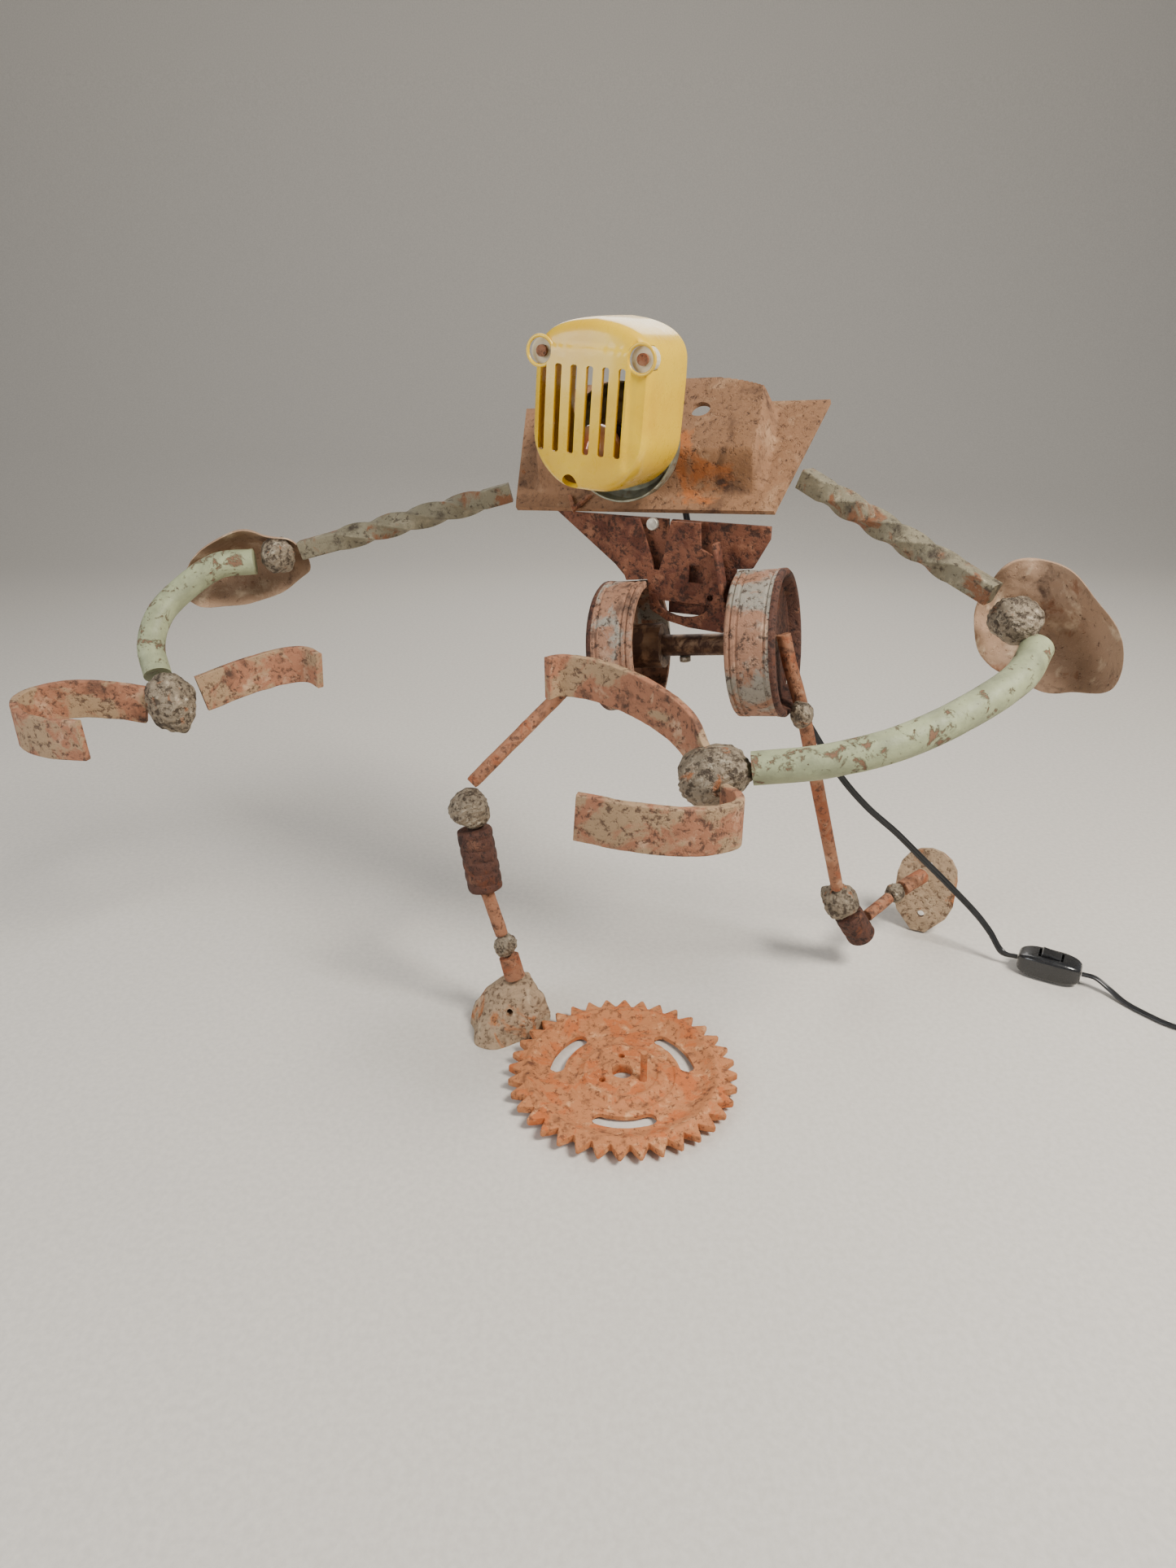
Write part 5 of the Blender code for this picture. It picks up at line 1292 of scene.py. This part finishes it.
    def bulb(self) -> None:
        """The round lamp: a neck and a sphere, as one turned outline."""
        mouth = self.nut_front() - self.gap - self.holder
        angle = np.radians(np.linspace(58, -89.9, 40))
        radius = self.bulb_radius
        centre = -6 * MM - radius * 0.95
        curve = np.column_stack([radius * np.cos(angle), centre + radius * np.sin(angle)])
        profile = np.vstack([[(0.1 * MM, 0.0), (6.5 * MM, 0.0), (7.2 * MM, -3 * MM)], curve])
        place = self.behind() @ Matrix.Translation((0, 0, mouth - self.gap))
        self.shop.fit(skin("round_bulb", revolve(profile, place, 64), sharp=60), Finish.GLASS,
                      "bulb_glass", body="lamp_head")

    def cup(self) -> None:
        """The galvanised cup: a turned dish with a rolled lip and a stepped back."""
        outer, deep, wall = self.cup_radius, self.cup_depth, self.cup_wall
        inner, hole = outer - wall, 5.1 * MM
        profile = [(hole, deep), (outer - 14 * MM, deep), (outer - 12 * MM, deep - 0.5 * MM),
                   (outer - 5 * MM, deep - 0.2 * MM), (outer - 2 * MM, deep - 2.5 * MM),
                   (outer - 0.2 * MM, deep - 6 * MM), (outer, 4 * MM), (outer, 0.6 * MM),
                   (outer - 0.5 * MM, 0.0), (inner + 0.4 * MM, 0.0), (inner, 0.6 * MM),
                   (inner, deep - 6.5 * MM), (outer - 5.8 * MM, deep - wall - 0.4 * MM),
                   (hole, deep - wall), (hole, deep)]
        grid = revolve(densified(profile, 1.2 * MM), self.behind(), 128)
        self.shop.fit(skin("spun_cup", grid, ends=Ends.OPEN, sharp=50), Finish.GALVANISED,
                      "lamp_cup", body="lamp_head")


@dataclass
class MainsCord:
    """The flat two-core cord, its switch and its coil."""

    shop: Workshop
    width: float = 5.2 * MM
    thick: float = 2.9 * MM
    coil: Array = field(default_factory=lambda: at(0.5050, -0.0620, 0.0))

    def twin(self) -> Array:
        """The cord's section: two round cores side by side, with a groove between them."""
        angle = np.linspace(0, 2 * math.pi, 32, endpoint=False)
        half = self.thick / 2
        waist = 0.55 + 0.45 * np.abs(np.cos(angle)) ** 0.5
        side = np.cos(angle) * self.width / 2
        lift = np.sin(angle) * half * np.where(np.abs(np.cos(angle)) < 0.35, waist, 1.0)
        return np.stack([side, lift], axis=-1)

    def lay(self, name: str, path: Array, up: tuple[float, float, float]) -> bpy.types.Object:
        """A stretch of cord along a path."""
        return skin(name, sweep(path, self.twin(), up), sharp=60)

    def build(self) -> None:
        """Lay the cord from the neck pipe to the switch, and from there into its coil."""
        upper = smooth_path(points_at([
            (0.0788, 0.1303, 0.4002), (0.0845, 0.1430, 0.4000), (0.0905, 0.1565, 0.3955),
            (0.0955, 0.1665, 0.3800), (0.0995, 0.1705, 0.3550), (0.1060, 0.1690, 0.3250),
            (0.1190, 0.1600, 0.2910), (0.1400, 0.1450, 0.2570), (0.1640, 0.1300, 0.2280),
            (0.1890, 0.1210, 0.2030), (0.2090, 0.1175, 0.1740), (0.2260, 0.1150, 0.1490),
            (0.2480, 0.1120, 0.1250), (0.2728, 0.1100, 0.1037), (0.2937, 0.1080, 0.0836),
            (0.3187, 0.1030, 0.0600), (0.3400, 0.0955, 0.0395), (0.3520, 0.0885, 0.0255),
            (0.3619, 0.0817, 0.0105), (0.3723, 0.0757, 0.0098)]), 240)
        cord = self.shop.fit(self.lay("neck_cord", upper, (-0.4, 0.9, 0.25)), Finish.CORD,
                             "cord_upper")
        switch = self.switch()
        lower = self.to_coil()
        rest = self.shop.fit(self.lay("coiled_cord", lower, (0, 0, 1)), Finish.CORD,
                             "cord_lower", "cord_coil")

    def length(self, path: Array) -> float:
        """How long a path is."""
        return float(np.linalg.norm(np.diff(path, axis=0), axis=1).sum())

    def to_coil(self) -> Array:
        """From the switch over the table, round two layers of turns and over to the plug.

        The turns are spirals: the radius falls by about one cord width a turn in the lower layer
        and grows again in the upper one.

        Returns:
            The whole centreline.
        """
        table = points_at([(0.4127, 0.0523, 0.0098), (0.4214, 0.0473, 0.0094),
                           (0.4290, 0.0390, 0.0050), (0.4350, 0.0280, 0.0020),
                           (0.4430, 0.0155, 0.0015), (0.4565, 0.0000, 0.0015),
                           (0.4740, -0.0085, 0.0015), (0.4950, -0.0131, 0.0015)])
        share_in, share_out = np.linspace(0, 1, 130), np.linspace(0, 1, 100)
        turn_in = np.radians(np.linspace(75, -1064, 130))
        radius_in = np.interp(share_in, [0, 0.05, 1], [0.0440, 0.0394, 0.0233])
        rise_in = np.interp(share_in, [0, 0.96, 1], [0.0017, 0.0017, 0.003])
        turn_out = np.radians(np.linspace(-1076, -1915.4, 100))
        radius_out = np.interp(share_out, [0, 1], [0.0236, 0.0388])
        rise_out = np.interp(share_out, [0, 0.10, 1], [0.0040, 0.0071, 0.0073])
        spiral = np.concatenate([
            np.column_stack([radius_in * np.cos(turn_in), radius_in * np.sin(turn_in), rise_in]),
            np.column_stack([radius_out * np.cos(turn_out), radius_out * np.sin(turn_out),
                             rise_out])])
        close = np.radians(np.linspace(236, 112, 8))
        hub, bend = np.array([-0.0098, -0.0206]), 0.016
        over = np.column_stack([hub[0] + bend * np.cos(close), hub[1] + bend * np.sin(close),
                                np.linspace(0.0085, 0.0178, 8)])
        end = np.array([[-0.0153, -0.0056, 0.0181]])
        wound = np.concatenate([spiral, over, end]) + self.coil
        return smooth_path(np.vstack([table, wound]), 900)

    def switch(self) -> bpy.types.Object:
        """The switch case: a rounded box that narrows at both ends, where the cord enters."""
        heading = np.array([math.cos(math.radians(-30)), math.sin(math.radians(-30)), 0.0])
        middle = at(0.3925, 0.0640, 0.0098)
        share = np.linspace(-1, 1, 60)
        path = middle + heading * share[:, None] * 23.0 * MM
        bulge = (1 - np.abs(share) ** 3.2) ** 0.55
        section = box_section(1.0, 1.0, 0.18, 48)
        size = np.stack([0.010 + 0.013 * bulge, 0.009 + 0.010 * bulge], axis=-1)
        grid = sweep(path, section[None] * size[:, None], (0, 0, 1))
        case = skin("switch_shell", grid, sharp=35)
        pivot = Matrix.Translation(Vector(middle + np.array([0, 0, 9.5 * MM]))) \
            @ Matrix.Rotation(math.radians(-30), 4, 'Z')
        room = sweep(straight((-9.0 * MM, 0, 0), (9.0 * MM, 0, 0), 2),
                     box_section(12 * MM, 10 * MM, 1 * MM, 24), (0, 0, 1))
        punched(case, [skin("rocker_room", placed(room, pivot))], 35)
        return self.shop.fit(case, Finish.SWITCH, "switch_case")


@dataclass
class Studio:
    """The camera, the pale floor and the soft lights."""

    eye: tuple[float, float, float] = (0.0258, -0.5952, 0.4580)
    pitch: float = math.radians(65.594)
    lens: float = 22.42

    def camera(self) -> None:
        """The camera, level and looking down a little."""
        data = bpy.data.cameras.new("camera")
        data.lens = self.lens
        data.sensor_width = 36.0
        data.clip_start = 0.01
        item = bpy.data.objects.new("camera", data)
        item.location = self.eye
        item.rotation_euler = (self.pitch, 0.0, 0.0)
        bpy.context.scene.collection.objects.link(item)
        bpy.context.scene.camera = item

    def floor(self) -> None:
        """A pale floor that curves up into a wall far behind, through a quarter-round."""
        run, start, radius = np.linspace(-2.5, 6.5, 150), 1.6, 1.2
        bend = np.clip((run - start) / radius, 0, math.pi / 2)
        out = np.minimum(run, start) + radius * np.sin(bend)
        lift = radius * (1 - np.cos(bend)) + np.clip(run - start - radius * math.pi / 2, 0, None)
        x, y = np.meshgrid(np.linspace(-4, 4, 60), out)
        grid = np.stack([x, y, np.broadcast_to(lift[:, None], x.shape) - 0.0002], axis=-1)
        item = skin("studio_floor", grid, around=False, ends=Ends.OPEN, sharp=80)
        graph = Graph("pale_floor")
        shades = [(0.35, (206, 200, 190)), (0.65, (216, 210, 200))]
        colour = graph.ramp(graph.noise(0.004, 4, 0.6), shades)
        graph.link(colour, graph.shader.inputs["Base Color"])
        graph.set(Roughness=0.75)
        item.data.materials.append(graph.material)

    def light(self, name: str, place: tuple[float, float, float], size: float, power: float,
              tint: tuple[float, float, float]) -> None:
        """A soft square light that looks at the robot's chest."""
        data = bpy.data.lights.new(name, 'AREA')
        data.size = size
        data.energy = power
        data.color = tint
        item = bpy.data.objects.new(name, data)
        item.location = place
        aim = Vector((0.05, 0.0, 0.25)) - Vector(place)
        item.rotation_euler = aim.to_track_quat('-Z', 'Y').to_euler()
        bpy.context.scene.collection.objects.link(item)

    def build(self) -> None:
        """Set up the whole studio."""
        self.camera()
        self.floor()
        self.light("key", (0.9, -0.6, 1.4), 0.5, 40.0, (1.0, 0.96, 0.90))
        self.light("fill", (-1.3, -0.8, 0.8), 0.9, 15.0, (0.93, 0.96, 1.0))
        self.light("rim", (0.2, 1.4, 1.2), 1.0, 10.0, (1.0, 0.98, 0.95))
        world = bpy.data.worlds.new("studio")
        world.use_nodes = True
        world.node_tree.nodes["Background"].inputs["Color"].default_value = (0.82, 0.84, 0.88, 1)
        world.node_tree.nodes["Background"].inputs["Strength"].default_value = 0.30
        bpy.context.scene.world = world


def arms(shop: Workshop) -> list[Arm]:
    """Both arms, with their own places."""
    right = Arm(
        shop, side="right", shoulder=at(-0.0255, 0.1330, 0.3610), elbow=at(-0.1760, 0.1280, 0.3215),
        forearm=points_at([
            (-0.2080, 0.1200, 0.3150), (-0.2330, 0.1150, 0.3130), (-0.2540, 0.1030, 0.3000),
            (-0.2680, 0.0880, 0.2850), (-0.2700, 0.0700, 0.2680), (-0.2620, 0.0540, 0.2520)]),
        hook=points_at([
            (-0.2660, 0.0385, 0.2365), (-0.2893, 0.0370, 0.2405), (-0.3122, 0.0310, 0.2430),
            (-0.3270, 0.0170, 0.2430), (-0.3290, 0.0000, 0.2425), (-0.3180, -0.0190, 0.2410),
            (-0.2960, -0.0320, 0.2405), (-0.2715, -0.0380, 0.2415)]),
        jaw=points_at([
            (-0.2330, 0.0505, 0.2400), (-0.2075, 0.0680, 0.2465), (-0.1845, 0.0810, 0.2500),
            (-0.1690, 0.0830, 0.2505), (-0.1575, 0.0730, 0.2490)]),
        turns=1.0, shell_at=at(-0.2190, 0.1330, 0.3090), shell_x=(-1.0, -0.12, -0.24),
        shell_z=(0.05, -0.9, -0.20), shell_size=(92 * MM, 52 * MM, 14 * MM), folds=(90, -90),
        fold=12 * MM)
    left = Arm(
        shop, side="left", shoulder=at(0.1640, 0.0560, 0.3800), elbow=at(0.2570, -0.0330, 0.3280),
        forearm=points_at([
            (0.2760, -0.0580, 0.3040), (0.2569, -0.0830, 0.2944), (0.2210, -0.1050, 0.2819),
            (0.1850, -0.1180, 0.2713), (0.1491, -0.1200, 0.2627), (0.1140, -0.1145, 0.2565)]),
        hook=points_at([
            (0.0985, -0.1260, 0.2400), (0.1040, -0.1380, 0.2405), (0.1000, -0.1510, 0.2415),
            (0.0790, -0.1590, 0.2425), (0.0515, -0.1590, 0.2450), (0.0230, -0.1510, 0.2470)]),
        jaw=points_at([
            (0.0905, -0.0920, 0.2500), (0.0822, -0.0740, 0.2625), (0.0619, -0.0500, 0.2709),
            (0.0354, -0.0310, 0.2762), (0.0139, -0.0230, 0.2770), (0.0050, -0.0290, 0.2770)]),
        turns=-1.0, shell_at=at(0.2890, -0.0330, 0.3080), shell_x=(0.70, -0.35, -0.60),
        shell_z=(-0.35, -0.85, 0.10), shell_size=(84 * MM, 66 * MM, 14 * MM), folds=(20,),
        fold=24 * MM)
    return [right, left]


def main() -> None:
    """Build the lamp in order."""
    logging.basicConfig(level=logging.INFO, format="%(name)s %(message)s")
    Studio().build()
    shop = Workshop()
    MainsCord(shop).build()
    for arm in arms(shop):
        arm.build()
    Legs(shop).build()
    Feet(shop).build()
    Hips(shop).build()
    Smoothed(shop).build()
    head = LampHead(shop)
    head.build()
    Torso(shop).build(head.neck(), head.pipe)


if __name__ == "__main__":
    main()
